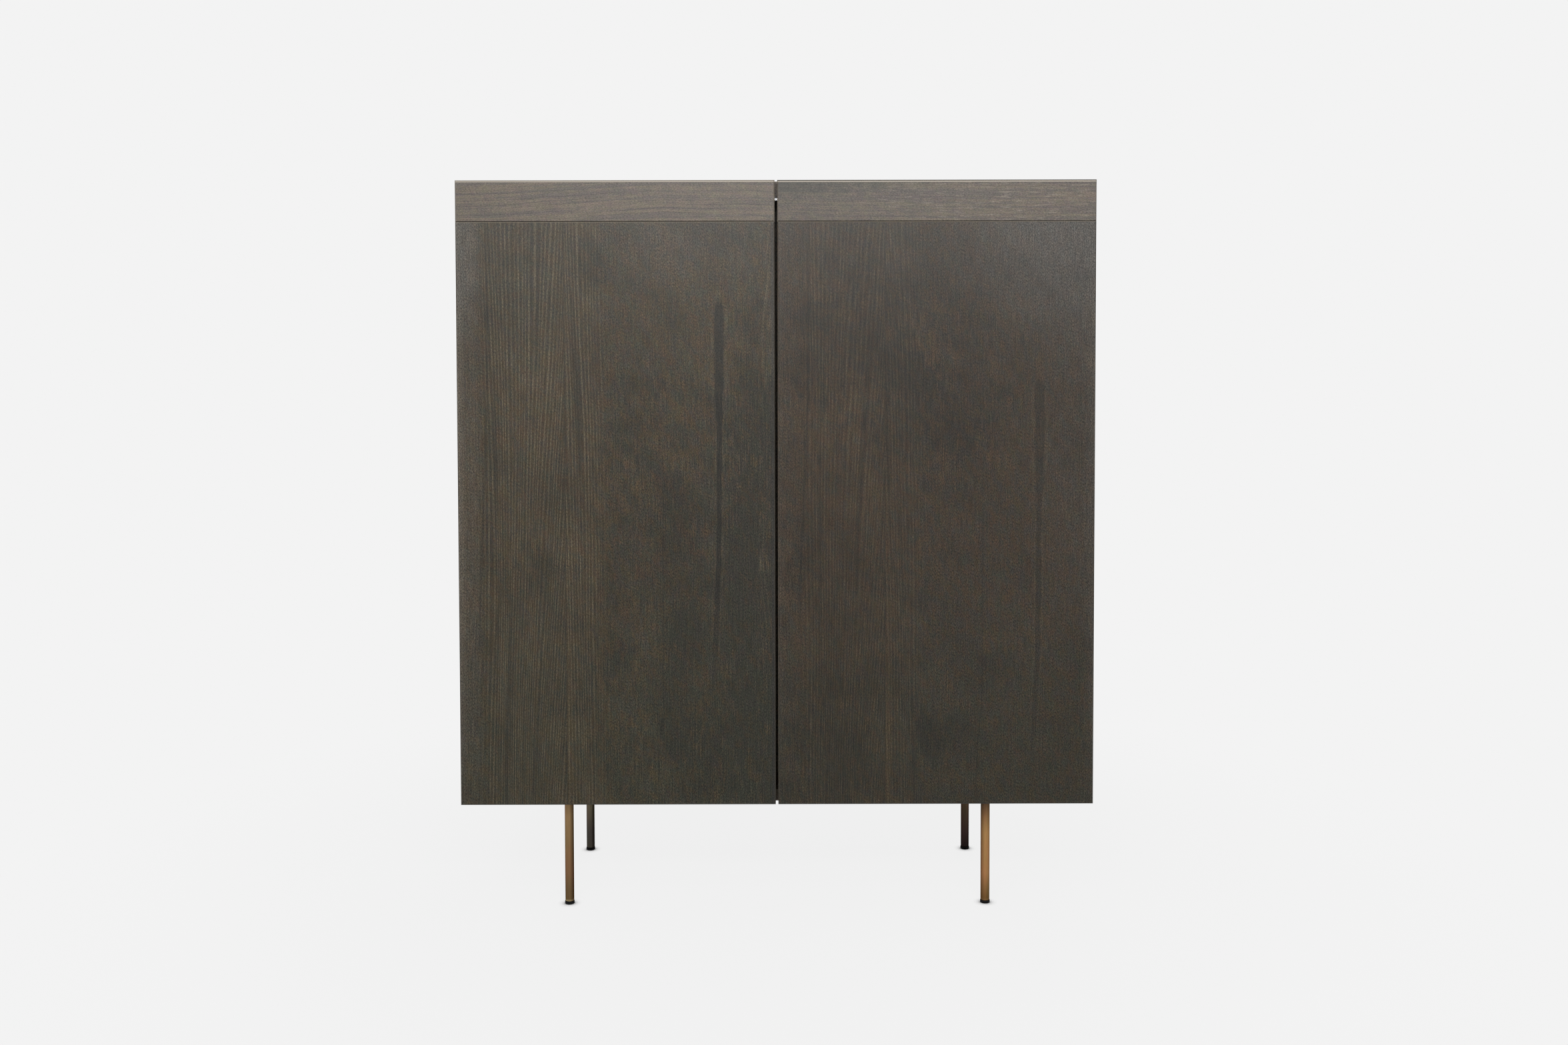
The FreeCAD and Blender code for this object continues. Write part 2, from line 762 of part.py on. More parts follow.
def leg(spot):
    length = leg_top - glide_height
    stud_bore = stud_length + bore_spare_depth
    spigot_bore = glide_spigot_length + bore_spare_depth
    stud_wall = stud_radius + bore_clearance
    spigot_wall = glide_spigot_radius + bore_clearance
    foot = spot + Vector(0, 0, glide_height)
    outline = [(0, 0), (leg_radius - leg_ease, 0), (leg_radius, leg_ease), (leg_radius, length), (0, length)]
    tube = turned(outline, foot, upwards)
    bores = [
        prism(spigot_wall, spigot_bore, dowel_sides, foot, upwards),
        prism(stud_wall, stud_bore, dowel_sides, foot + Vector(0, 0, length - stud_bore), upwards),
    ]
    return less(tube, bores)


def glide(spot):
    top = glide_height + glide_spigot_length
    pad = faceted([(glide_radius - glide_ease, 0), (glide_radius, glide_ease), (glide_radius, glide_height)],
                  cup_sides, spot, upwards)
    return joined([pad, prism(glide_spigot_radius, top, dowel_sides, spot, upwards)])


def plate_screws_of(spot):
    reach = leg_plate_size / 2 - leg_screw_inset
    return [
        countersunk_screw(leg_screw_head, leg_screw_radius, leg_screw_length,
                          spot + Vector(x, y, leg_top), upwards)
        for x in (-reach, reach) for y in (-reach, reach)
    ]


def leg_plate_screws():
    return [screw for spot in leg_spots().values() for screw in plate_screws_of(spot)]


def leg_plate(spot):
    half = leg_plate_size / 2
    plate = block(spot.x - half, spot.x + half, spot.y - half, spot.y + half, leg_top, case_bottom)
    stud = prism(stud_radius, stud_length, dowel_sides, spot + Vector(0, 0, leg_top - stud_length), upwards)
    return less(joined([plate, stud]), plate_screws_of(spot))


def save_legs():
    spots = leg_spots()
    for name, spot in spots.items():
        save(name, [leg(spot)])
    save("leg_glides", [glide(spot) for spot in spots.values()])
    save("leg_plates", [leg_plate(spot) for spot in spots.values()])
    save("leg_plate_screws", leg_plate_screws())


os.makedirs("parts", exist_ok=True)
save_doors()
save_hinges()
save_latch()
save_case()
save_shelves()
save_counter()
save_legs()
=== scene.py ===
import bmesh
import bpy
import json
import math
from mathutils import Euler, Matrix, Vector


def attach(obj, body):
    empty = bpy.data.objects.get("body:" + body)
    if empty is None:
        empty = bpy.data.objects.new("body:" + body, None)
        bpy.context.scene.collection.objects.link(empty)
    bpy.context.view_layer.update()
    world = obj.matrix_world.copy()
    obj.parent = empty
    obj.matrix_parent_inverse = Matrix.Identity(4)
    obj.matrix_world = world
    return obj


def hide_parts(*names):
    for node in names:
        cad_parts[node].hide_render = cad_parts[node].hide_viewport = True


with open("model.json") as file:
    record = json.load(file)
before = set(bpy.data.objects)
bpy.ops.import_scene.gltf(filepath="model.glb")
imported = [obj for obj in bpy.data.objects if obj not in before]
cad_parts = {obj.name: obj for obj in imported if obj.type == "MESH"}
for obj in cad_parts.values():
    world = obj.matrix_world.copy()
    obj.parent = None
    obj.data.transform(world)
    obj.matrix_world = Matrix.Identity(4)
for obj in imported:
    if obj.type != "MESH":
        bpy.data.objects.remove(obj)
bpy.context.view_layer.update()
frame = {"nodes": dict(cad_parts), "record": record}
nodes = frame["nodes"]
print("frame loaded,", len(nodes), "nodes")

# Shader helpers: each returns the output socket of what it adds


def feed(tree, value, socket):
    if isinstance(value, bpy.types.NodeSocket):
        tree.links.new(value, socket)
    else:
        socket.default_value = value


def shader(tree, kind, **settings):
    made = tree.nodes.new("ShaderNode" + kind)
    for key, value in settings.items():
        setattr(made, key, value)
    return made


def calc(tree, operation, *values):
    made = shader(tree, "Math", operation=operation)
    for value, socket in zip(values, made.inputs):
        feed(tree, value, socket)
    return made.outputs[0]


def plus(tree, first, second):
    return calc(tree, "ADD", first, second)


def minus(tree, first, second):
    return calc(tree, "SUBTRACT", first, second)


def times(tree, first, second):
    return calc(tree, "MULTIPLY", first, second)


def most(tree, first, second):
    return calc(tree, "MAXIMUM", first, second)


def mean(tree, first, second):
    return times(tree, plus(tree, first, second), 0.5)


def around(tree, value, factor):
    # how far value lies from one half, times a factor
    return times(tree, minus(tree, value, 0.5), factor)


def awayFrom(tree, value, middle):
    return calc(tree, "ABSOLUTE", minus(tree, value, middle))


def fill(tree, made, values):
    for name, value in values.items():
        feed(tree, value, made.inputs[name])
    return made.outputs


def fade(tree, value, low, high, fromLevel=0, toLevel=1):
    # smooth step of value between low and high
    made = shader(tree, "MapRange", interpolation_type="SMOOTHSTEP")
    levels = {"To Min": fromLevel, "To Max": toLevel}
    return fill(tree, made, {"Value": value, "From Min": low, "From Max": high, **levels})["Result"]


def cloud(tree, spot, scales, detail=1, roughness=0.5):
    # noise at spot, which is (across, along, through); scales are in cycles per metre
    place = shader(tree, "CombineXYZ")
    for value, scale, socket in zip(spot, scales, place.inputs):
        feed(tree, times(tree, value, scale), socket)
    made = shader(tree, "TexNoise")
    values = {"Vector": place.outputs[0], "Scale": 1, "Detail": detail, "Roughness": roughness}
    return fill(tree, made, values)[0]


def mixed(tree, share, first, second, blend="MIX"):
    made = shader(tree, "Mix", data_type="RGBA", blend_type=blend)
    feed(tree, share, made.inputs[0])
    feed(tree, first, made.inputs[6])
    feed(tree, second, made.inputs[7])
    return made.outputs[2]


def newGroup(name, inputs, outputs):
    tree = bpy.data.node_groups.new(name, "ShaderNodeTree")
    for label in inputs:
        kind = "NodeSocketVector" if label == "Normal" else "NodeSocketFloat"
        tree.interface.new_socket(label, in_out="INPUT", socket_type=kind)
    for label in outputs:
        tree.interface.new_socket(label, in_out="OUTPUT", socket_type="NodeSocketFloat")
    given = tree.nodes.new("NodeGroupInput").outputs[:len(inputs)]
    out = tree.nodes.new("NodeGroupOutput").inputs
    return tree, given, lambda name, value: feed(tree, value, out[name])


def placed(tree, group, **values):
    return fill(tree, shader(tree, "Group", node_tree=group), values)


def axesOf(tree, kind):
    parts = shader(tree, "SeparateXYZ")
    feed(tree, shader(tree, "TexCoord").outputs[kind], parts.inputs[0])
    return dict(zip("XYZ", parts.outputs))


def newMaterial(name):
    made = bpy.data.materials.new(name)
    made.use_nodes = True
    return made, made.node_tree, axesOf(made.node_tree, "Object")


surfaceSockets = {"colour": "Base Color", "rough": "Roughness", "normal": "Normal", "gloss": "Specular IOR Level",
                  "metal": "Metallic", "tint": "Specular Tint", "clear": "Transmission Weight", "bending": "IOR"}


def surface(tree, **values):
    skin = tree.nodes["Principled BSDF"]
    fill(tree, skin, {surfaceSockets[name]: value for name, value in values.items()})


def bumped(tree, height, strength, distance):
    values = {"Strength": strength, "Distance": distance, "Height": height}
    return fill(tree, shader(tree, "Bump"), values)["Normal"]


cabinetTop = 1.395   # height of the cabinet
doorMiddle = -0.215  # the plane halfway through the doors
grainScales = {
    # cycles per metre across, along and through the sheet
    "sway": (3.5, 1.3, 3), "uneven": (36, 1.2, 1), "strong": (120, 5, 1), "broken": (90, 210, 1),
    "wide": (70, 1.6, 3), "fibre": (480, 26, 480), "pores": (720, 290, 720),
    "patches": (12, 11, 12), "warmth": (64, 46, 64),
    "moss": (52, 34, 52), "specks": (430, 260, 430),
}


# Grain of sliced oak veneer: light early-wood lines, dark gaps between them, pores, and slow changes of tone
def buildGrain():
    tree, (across, along, through, pitch, wander, seed), give = newGroup(
        "oakGrain", ["Across", "Along", "Through", "Pitch", "Wander", "Seed"],
        ["Lines", "Gaps", "Fibre", "Pores", "Patches", "Warmth", "Moss"])

    def noise(spot, kind, detail=1, roughness=0.5):
        return cloud(tree, spot, grainScales[kind], detail, roughness)

    seeded = plus(tree, through, seed)
    sway = around(tree, noise((across, along, seeded), "sway"), wander)
    across = plus(tree, across, sway)
    face = plus(tree, across, times(tree, through, 0.6))  # lines cross a sheet's edge at a slant
    ruled = (face, along, seed)
    turns = plus(tree, calc(tree, "DIVIDE", face, pitch), around(tree, noise(ruled, "uneven"), 3))
    wave = calc(tree, "SINE", times(tree, turns, 2 * math.pi))
    strong = fade(tree, noise(ruled, "strong", 2), 0.25, 0.65, 0.35)
    broken = fade(tree, noise(ruled, "broken"), 0.28, 0.6, 0.55)
    give("Lines", times(tree, fade(tree, wave, -0.1, 1), times(tree, strong, broken)))
    wide = fade(tree, noise(ruled, "wide"), 0.6, 0.74)
    give("Gaps", most(tree, times(tree, fade(tree, wave, -0.2, -1), 0.4), wide))
    give("Fibre", noise((across, along, seeded), "fibre"))
    skewed = calc(tree, "MULTIPLY_ADD", across, 0.45, along)  # keeps the pores out of rows
    skewed = (across, skewed, seeded)
    give("Pores", noise(skewed, "pores", 1.5, 0.6))
    give("Patches", noise(skewed, "patches", 5, 0.66))
    give("Warmth", noise(skewed, "warmth", 4, 0.78))
    give("Moss", mean(tree, noise(skewed, "moss", 3, 0.6), noise(skewed, "specks", 1, 0.6)))
    return tree


leafLook = {
    # from a door's left edge; heights above the floor
    "seam": 0.202, "seamTop": 1.6,
    "hookedSeam": 0.386, "hookedSeamTop": 0.95, "hook": 0.01,
    "lean": 0.075, "leanBack": -0.022, "upright": 0.9,  # the lines stand upright at this height
    "linesFrom": (0.044, 0.06), "linesTo": (0.245, 0.29), "fewestLines": 0.17,
    "stripFrom": (0.202, 0.2035), "stripTo": (0.206, 0.222),
    "flame": 0.4925, "flameDrift": -0.014, "flameWidths": (0.0092, 0.005), "nibble": 0.0035,
    "knifeAtFoot": 0.04, "knifeAtTop": 0.058,
    "outerBorder": (0.57, 0.597), "lipping": (0.5895, 0.5915),
    "ribs": (240, 2.2, 0), "ribLean": 0.11, "ribFold": 0.22,
}


# What shows only on the doors: their veneer leaves with seams, leaning lines and a dark flame
def buildLeaves():
    tree, (across, along, flameTop, flameFoot, outerShare), give = newGroup(
        "veneerLeaves", ["Across", "Along", "Peak", "Foot", "Outer"],
        ["Lean", "Lined", "Seam", "Strip", "Flame", "Rim", "Border", "Knife", "Streak", "Lipping"])
    look = leafLook

    def least(value, nearest, furthest):
        # 1 up to nearest, falling to 0 at furthest
        return fade(tree, value, nearest, furthest, 1, 0)

    swayed = plus(tree, across, around(tree, cloud(tree, (0, along, 0), (0, 2.4, 0)), 0.01))
    slope = times(tree, fade(tree, across, 0.06, look["seam"]), calc(tree, "LESS_THAN", across, look["seam"]))
    beyond = fade(tree, across, 0.3, look["seam"], 0, look["leanBack"])
    beyond = times(tree, beyond, calc(tree, "GREATER_THAN", across, look["seam"]))
    lean = plus(tree, times(tree, slope, look["lean"]), beyond)
    give("Lean", times(tree, lean, minus(tree, look["upright"], along)))
    lined = fade(tree, swayed, *look["linesFrom"], 0.35)
    give("Lined", times(tree, lined, fade(tree, swayed, *look["linesTo"], 1, look["fewestLines"])))

    seams = 0
    hook = times(tree, fade(tree, along, 0.42, 0.3), look["hook"])
    hooked = minus(tree, look["hookedSeam"], hook)
    for place, top in ((look["seam"], look["seamTop"]), (hooked, look["hookedSeamTop"])):
        line = times(tree, least(awayFrom(tree, across, place), 0.0006, 0.0024), fade(tree, along, top, top - 0.2))
        seams = most(tree, seams, line)
    give("Seam", seams)
    lit = times(tree, fade(tree, across, *look["stripFrom"]), least(across, *look["stripTo"]))
    give("Strip", times(tree, lit, fade(tree, along, 0.95, 0.45)))

    below = minus(tree, flameTop, along)
    width = fade(tree, below, 0.12, 0.26, *look["flameWidths"])
    width = times(tree, width, fade(tree, below, -0.01, 0.01, 0.45, 1))
    middle = plus(tree, fade(tree, below, 0.4, 0.85, 0, look["flameDrift"]), look["flame"])
    nibbled = around(tree, cloud(tree, (across, along, 0), (90, 30, 0)), look["nibble"])
    off = calc(tree, "ABSOLUTE", plus(tree, minus(tree, swayed, middle), nibbled))
    off = calc(tree, "DIVIDE", off, width)  # in half widths of the flame
    whole = plus(tree, flameFoot, 0.32)
    height = times(tree, fade(tree, below, -0.012, 0.004), fade(tree, along, flameFoot, whole))
    give("Flame", times(tree, least(off, 0.72, 1.12), height))
    beside = least(awayFrom(tree, off, 1.45), 0, 0.5)
    above = calc(tree, "DIVIDE", plus(tree, below, 0.004), 0.017)
    ring = calc(tree, "SQRT", calc(tree, "MULTIPLY_ADD", above, above, times(tree, off, off)))
    arch = times(tree, least(awayFrom(tree, ring, 1.1), 0, 0.35), calc(tree, "LESS_THAN", above, -0.35))
    give("Rim", most(tree, times(tree, beside, height), times(tree, arch, 1.6)))

    inner = plus(tree, fade(tree, across, 0.026, 0.054, 0.55, 0), fade(tree, across, 0, 0.018, 0.75, 0))
    outer = times(tree, fade(tree, across, *look["outerBorder"]), outerShare)
    give("Border", plus(tree, inner, outer))
    drift = fade(tree, along, 1.1, 0.5, look["knifeAtTop"], look["knifeAtFoot"])
    knife = least(awayFrom(tree, across, drift), 0.0008, 0.0035)
    give("Knife", times(tree, knife, fade(tree, along, 0.45, 0.65)))
    fan = plus(tree, across, times(tree, calc(tree, "PINGPONG", along, look["ribFold"]), look["ribLean"]))
    ribs = fade(tree, cloud(tree, (fan, along, 0), look["ribs"]), 0.54, 0.7)
    give("Streak", times(tree, ribs, fade(tree, across, 0.555, 0.578)))
    give("Lipping", fade(tree, across, *look["lipping"]))
    return tree


# One soft patch where the stain took more or less
def buildMark():
    tree, (across, along, over, up, width, height, ragged), give = newGroup(
        "stainMark", ["Across", "Along", "Over", "Up", "Width", "Height", "Ragged"], ["Mark"])
    reach = []
    for here, middle, size in ((across, over, width), (along, up, height)):
        reach.append(calc(tree, "DIVIDE", minus(tree, here, middle), size))
    wide, high = (times(tree, part, part) for part in reach)
    away = calc(tree, "SQRT", plus(tree, wide, high))
    away = plus(tree, away, around(tree, ragged, 2.4))
    give("Mark", fade(tree, away, 0.25, 1.35, 1, 0))
    return tree


# Eased edges, found by their slanted faces: painted highlight on all of them, strongest where they face up, and
# painted shade on those that look down
def buildEased():
    tree, (normal,), give = newGroup("easedEdges", ["Normal"], ["Rubbed", "Under"])
    parts = shader(tree, "SeparateXYZ")
    feed(tree, normal, parts.inputs[0])
    sizes = [calc(tree, "ABSOLUTE", socket) for socket in parts.outputs]
    largest = most(tree, sizes[0], most(tree, sizes[1], sizes[2]))
    slanted = fade(tree, largest, 0.97, 0.85)
    under = fade(tree, parts.outputs[2], -0.3, -0.5)
    give("Rubbed", times(tree, slanted, fade(tree, parts.outputs[2], -0.2, 0.6, 0.2, 1)))
    give("Under", times(tree, slanted, under))
    return tree


bandLook = {
    # flecks fade in from fleckFrom to fleckTo, from the left end; level: tone at the left and right end;
    # the light line along the top is a painted highlight, its strength and height given after arris
    "left": {
        "start": -0.6, "rise": 0.02, "veins": 0.62, "flecks": 0.1, "fleckFrom": 0, "fleckTo": 0.01, "seed": 7,
        "shade": 0, "arris": 0.3, "topHighlight": 1, "topHighlightAt": 1.3922, "level": (0.83, 0.83),
    },
    "right": {
        "start": 0.0025, "rise": -0.006, "veins": 0.45, "flecks": 0.6, "fleckFrom": 0.05, "fleckTo": 0.35,
        "seed": 9, "shade": 0.75, "arris": 0.85, "topHighlight": 0.95, "topHighlightAt": 1.3918, "level": (0.69, 0.83),
    },
    "top": {
        "start": -0.6, "rise": 0, "veins": 0.4, "flecks": 0.2, "fleckFrom": 0, "fleckTo": 0.01, "seed": 11,
        "shade": 0, "arris": 0, "topHighlight": 0, "topHighlightAt": 1.3922, "level": (0.86, 0.86),
    },
    "tan": (0.153, 0.124, 0.093, 1),
    "violet": (0.112, 0.095, 0.083, 1),
    "vein": (0.052, 0.042, 0.042, 1),
    "fleck": (0.235, 0.2, 0.16, 1),
    "green": (0.06, 0.06, 0.05, 1),
    "veinPitch": 0.0066,
    "fibre": (0.88, 1.12), "pores": (0.6, 1.4),  # darkest and lightest tone
    # share of painted highlight and painted shade on the eased edges
    "edgeLightAndShade": 0.7,
    "arrisAt": (1.3931, 1.3937),  # heights between which the uppermost edge darkens
}


# Figure of the level bands: wide waves that rise along the band, with thin dark veins and light flecks
def buildBandFigure():
    tree, (across, along, rise, seed), give = newGroup(
        "bandFigure", ["Across", "Along", "Rise", "Seed"], ["Bent", "Sheets", "Veins", "Flecks"])
    arch = fade(tree, along, 0, 0.42, 0, rise)
    sway = around(tree, cloud(tree, (along, seed, 0), (7, 1, 0)), 0.008)
    bent = minus(tree, across, plus(tree, arch, sway))
    give("Bent", bent)
    spot = (bent, along, seed)
    give("Sheets", cloud(tree, spot, (150, 2, 1), 3, 0.6))
    uneven = cloud(tree, spot, (40, 1.6, 1))
    turns = plus(tree, calc(tree, "DIVIDE", bent, bandLook["veinPitch"]), times(tree, uneven, 2.4))
    wave = calc(tree, "SINE", times(tree, turns, 2 * math.pi))
    share = fade(tree, cloud(tree, spot, (60, 3, 2), 2), 0.42, 0.62)
    give("Veins", times(tree, fade(tree, wave, 0.8, 1), share))
    give("Flecks", fade(tree, cloud(tree, spot, (330, 34, 1)), 0.55, 0.7))
    return tree


grainGroup = buildGrain()
bandGroup = buildBandFigure()
leavesGroup = buildLeaves()
markGroup = buildMark()
easedGroup = buildEased()

oakLook = {
    "ground": (0.054, 0.0418, 0.0298, 1),  # stained veneer
    "line": (0.114, 0.094, 0.062, 1),      # early wood
    "dark": (0.018, 0.0172, 0.0145, 1),    # flame and seams, and the painted shade under eased edges
    "rubbed": (0.34, 0.3, 0.25, 1),        # painted highlight on eased edges
    "pale": (0.112, 0.099, 0.084, 1),      # borders of the doors
    "warmer": (1.16, 1.025, 0.8, 1),       # where the stain took less
    "cooler": (0.82, 0.995, 1.07, 1),      # where it took more
    "mossy": (0.93, 1.055, 0.93, 1),
    "plummy": (1.07, 0.945, 1.07, 1),
    "paintedSheen": (0.15, 0.146, 0.138, 1),      # painted sheen, a pale reflection of the light on the lacquer
    "lipping": (0.037, 0.035, 0.032, 1),  # smooth strip on a door's closing edge
    "roughness": 0.38,
    "gloss": 0.25,
    "relief": 0.0001,
    "patchTurn": 2.2, "warmthTurn": 6, "mossTurn": -5.5,  # how far the noises carry each tint
    "fibre": (0.74, 1.26),                                # darkest and lightest tone
    "patches": (0.7, 1.3),
    "poreDepth": 0.7, "poreDepths": (0.88, 0.62),           # on doors: away from lines, among them
    "paintedHighlightShare": 0.34, "paintedShadeShare": 0.5,                 # how much painted highlight and painted shade the eased edges take
    "gaps": 0.42, "seam": 0.35, "knife": 0.4, "rim": 0.16,  # strength of what shows on doors only
}
doorLook = {
    # marks, tints and patches of painted sheen: distance from the door's left edge, height, half width, half
    # height, strength;
    # marks above 0 are warm, below 0 dark
    "left": {
        "start": -0.6, "level": 0.85, "plum": 0, "flame": 0.75, "flameTop": 1.163, "flameFoot": 0.36,
        "border": 0.44, "outerBorder": 0, "lines": 0.8, "streaks": 0.35, "lipping": 0.7,
        "marks": [
            (0.246, 1.236, 0.03, 0.05, -0.5), (0.355, 1.012, 0.06, 0.028, -0.5), (0.339, 0.937, 0.04, 0.026, -0.4),
            (0.417, 0.756, 0.036, 0.078, -0.7), (0.427, 0.544, 0.04, 0.062, -0.6),
            (0.414, 0.345, 0.032, 0.042, -0.7), (0.548, 0.64, 0.045, 0.32, -0.7),
            (0.315, 0.5, 0.034, 0.026, -0.5), (0.158, 0.675, 0.036, 0.03, -0.5),
            (0.15, 1.01, 0.07, 0.16, 0.4), (0.23, 0.69, 0.06, 0.095, 0.5), (0.345, 0.56, 0.042, 0.17, 0.4),
            (0.035, 0.86, 0.02, 0.15, 0.5), (0.084, 0.49, 0.014, 0.085, 0.5), (0.59, 0.56, 0.016, 0.42, -0.9),
            (0.47, 1.28, 0.11, 0.05, -0.3), (0.56, 1.12, 0.03, 0.12, -0.4), (0.45, 0.56, 0.19, 0.43, -0.55),
            (0.56, 0.3, 0.11, 0.11, -0.7), (0.555, 0.96, 0.06, 0.14, -0.6), (0.2, 0.72, 0.09, 0.22, -0.2),
            (0.545, 0.74, 0.036, 0.17, -0.5), (0.59, 0.245, 0.014, 0.04, -0.9), (0.004, 0.8, 0.012, 0.38, 0.8),
        ],
        "tints": [
            (0.54, 0.78, 0.09, 0.5, -0.22), (0.125, 1.18, 0.07, 0.11, -0.3), (0.262, 0.46, 0.03, 0.33, 0.25),
        ],
        "paintedSheenPatches": [(0.01, 1.26, 0.04, 0.15, 0.24), (0.42, 1.34, 0.15, 0.15, 0.12)],
    },
    "right": {
        "start": 0.0025, "level": 0.675, "plum": 0.3, "flame": 0.42, "flameTop": 1.015, "flameFoot": 0.18,
        "border": 0.16, "outerBorder": 1.6, "lines": 0.44, "streaks": 0.2, "lipping": 0,
        "marks": [
            (0.242, 1.07, 0.042, 0.06, -0.4), (0.336, 0.92, 0.048, 0.046, -0.5), (0.43, 1, 0.038, 0.02, -0.4),
            (0.043, 0.68, 0.03, 0.034, -0.5), (0.118, 0.43, 0.044, 0.028, -0.5), (0.417, 0.48, 0.048, 0.034, -0.5),
            (0.292, 0.35, 0.038, 0.05, -0.5), (0.35, 0.98, 0.06, 0.2, -0.4), (0.168, 0.78, 0.054, 0.05, 0.5),
            (0.049, 0.54, 0.03, 0.064, 0.5), (0.207, 0.33, 0.01, 0.1, 0.7), (0.11, 0.96, 0.11, 0.22, 0.3),
            (0.11, 0.56, 0.14, 0.48, -0.3), (0.15, 1.09, 0.17, 0.13, -0.45), (0.07, 0.29, 0.13, 0.08, -0.35),
            (0.265, 0.96, 0.09, 0.11, -0.45), (0.145, 1.12, 0.11, 0.11, -0.3), (0.46, 0.56, 0.09, 0.27, 0.35),
        ],
        "tints": [
            (0.09, 0.76, 0.17, 0.56, 0.24), (0.245, 1.26, 0.06, 0.09, -0.25), (0.38, 0.48, 0.18, 0.32, -0.16),
        ],
        "paintedSheenPatches": [(0.59, 1.36, 0.24, 0.28, 0.42), (0.58, 0.85, 0.1, 0.3, 0.1)],
    },
}


def shaded(tree, colour, level):
    grey = shader(tree, "CombineXYZ")
    for socket in grey.inputs:
        feed(tree, level, socket)
    return mixed(tree, 1, colour, grey.outputs[0], "MULTIPLY")


def stainMarks(tree, across, along, ragged, marks):
    total = 0
    for over, up, width, height, strength in marks:
        mark = placed(tree, markGroup, Across=across, Along=along, Over=over, Up=up,
                      Width=width, Height=height, Ragged=ragged)["Mark"]
        total = calc(tree, "MULTIPLY_ADD", mark, strength, total)
    return total


def tinted(tree, colour, turn, first, second):
    # turn from -1 to 1 carries the tint from first to second
    return mixed(tree, 1, colour, mixed(tree, fade(tree, turn, -1, 1), first, second), "MULTIPLY")


def lacquered(tree, colour, pores):
    # matt lacquer that sinks into the pores
    rough = oakLook["roughness"]
    surface(tree, colour=colour, rough=fade(tree, pores, 0.3, 0.7, rough + 0.04, rough - 0.04),
            normal=bumped(tree, pores, 0.4, oakLook["relief"]), gloss=oakLook["gloss"])


def easedEdges(tree):
    return placed(tree, easedGroup, Normal=shader(tree, "TexCoord").outputs["Normal"])


def oakMaterial(name, across, along, through, seed, pitch=0.0064, door=None):
    made, tree, axes = newMaterial(name)
    look, lines = oakLook, 0.4
    acrossAt, alongAt = axes[across], axes[along]
    grainAt = acrossAt
    if door:
        outside = calc(tree, "LESS_THAN", axes["Y"], doorMiddle)  # the inner face is plain
        acrossAt = minus(tree, acrossAt, door["start"])
        acrossAt = plus(tree, acrossAt, fade(tree, outside, 0, 1, -5, 0))
        leaves = placed(tree, leavesGroup, Across=acrossAt, Along=alongAt, Peak=door["flameTop"],
                        Foot=door["flameFoot"], Outer=door["outerBorder"])
        grainAt, lines = plus(tree, acrossAt, leaves["Lean"]), door["lines"]
    grain = placed(tree, grainGroup, Across=grainAt, Along=alongAt, Through=axes[through],
                   Pitch=pitch, Wander=0.03, Seed=seed)
    patch = around(tree, grain["Patches"], look["patchTurn"])
    if door:
        ragged = plus(tree, mean(tree, grain["Patches"], grain["Warmth"]), around(tree, grain["Fibre"], 0.5))
        patch = plus(tree, patch, stainMarks(tree, acrossAt, alongAt, ragged, door["marks"]))
        patch = plus(tree, patch, times(tree, leaves["Strip"], 0.4))
    warmth = plus(tree, around(tree, grain["Warmth"], look["warmthTurn"]), times(tree, patch, 0.25))
    moss = around(tree, grain["Moss"], look["mossTurn"])
    if door:
        low = fade(tree, alongAt, 0.75, 0.25)
        warmth = plus(tree, warmth, minus(tree, times(tree, leaves["Strip"], 0.6), times(tree, low, 0.15)))
        warmth = plus(tree, warmth, stainMarks(tree, acrossAt, alongAt, 0.5, door["tints"]))
        moss = plus(tree, minus(tree, moss, times(tree, low, 0.5)), door["plum"])
    colour = tinted(tree, look["ground"], warmth, look["cooler"], look["warmer"])
    colour = tinted(tree, colour, moss, look["mossy"], look["plummy"])

    lineShare = times(tree, grain["Lines"], lines)
    if door:
        lineShare = times(tree, lineShare, leaves["Lined"])
        lineShare = plus(tree, lineShare, times(tree, leaves["Streak"], times(tree, outside, door["streaks"])))
        lineShare = plus(tree, lineShare, times(tree, leaves["Rim"], look["rim"]))
        border = fade(tree, alongAt, 0.22, 0.42, 0.35 * door["border"], door["border"])
        border = times(tree, times(tree, leaves["Border"], border), outside)
        colour = mixed(tree, border, colour, look["pale"])
    colour = mixed(tree, lineShare, colour, look["line"])
    depth = look["poreDepth"]
    if door:
        # painted sheen: pale patches that stand for the lamps' reflection in the lacquer
        colour = mixed(tree, stainMarks(tree, acrossAt, alongAt, 0.5, door["paintedSheenPatches"]), colour, look["paintedSheen"])
        darkened = times(tree, grain["Gaps"], times(tree, leaves["Lined"], look["gaps"]))
        for label, share in (("Flame", door["flame"]), ("Seam", look["seam"]), ("Knife", look["knife"])):
            darkened = most(tree, darkened, times(tree, leaves[label], share))
        colour = mixed(tree, darkened, colour, look["dark"])
        colour = mixed(tree, times(tree, leaves["Lipping"], door["lipping"]), colour, look["lipping"])
        depth = fade(tree, leaves["Lined"], 0, 1, *look["poreDepths"])

    pores = fade(tree, grain["Pores"], 0.2, 0.8, minus(tree, 1, depth), plus(tree, 1, depth))
    level = times(tree, fade(tree, grain["Fibre"], 0.2, 0.8, *look["fibre"]), pores)
    level = times(tree, level, fade(tree, patch, -1.2, 1.2, *look["patches"]))
    if door:
        # painted shade: each door darkens towards the bottom, away from the light above
        level = times(tree, level, fade(tree, alongAt, 0.2, 0.85, 0.93 * door["level"], door["level"]))
    colour = shaded(tree, colour, level)
    # painted highlight on the eased edges, strongest where they face up, and painted shade where they face down
    edgeLightAndShade = easedEdges(tree)
    colour = mixed(tree, times(tree, edgeLightAndShade["Rubbed"], look["paintedHighlightShare"]), colour, look["rubbed"])
    colour = mixed(tree, times(tree, edgeLightAndShade["Under"], look["paintedShadeShare"]), colour, look["dark"])
    lacquered(tree, colour, grain["Pores"])
    return made





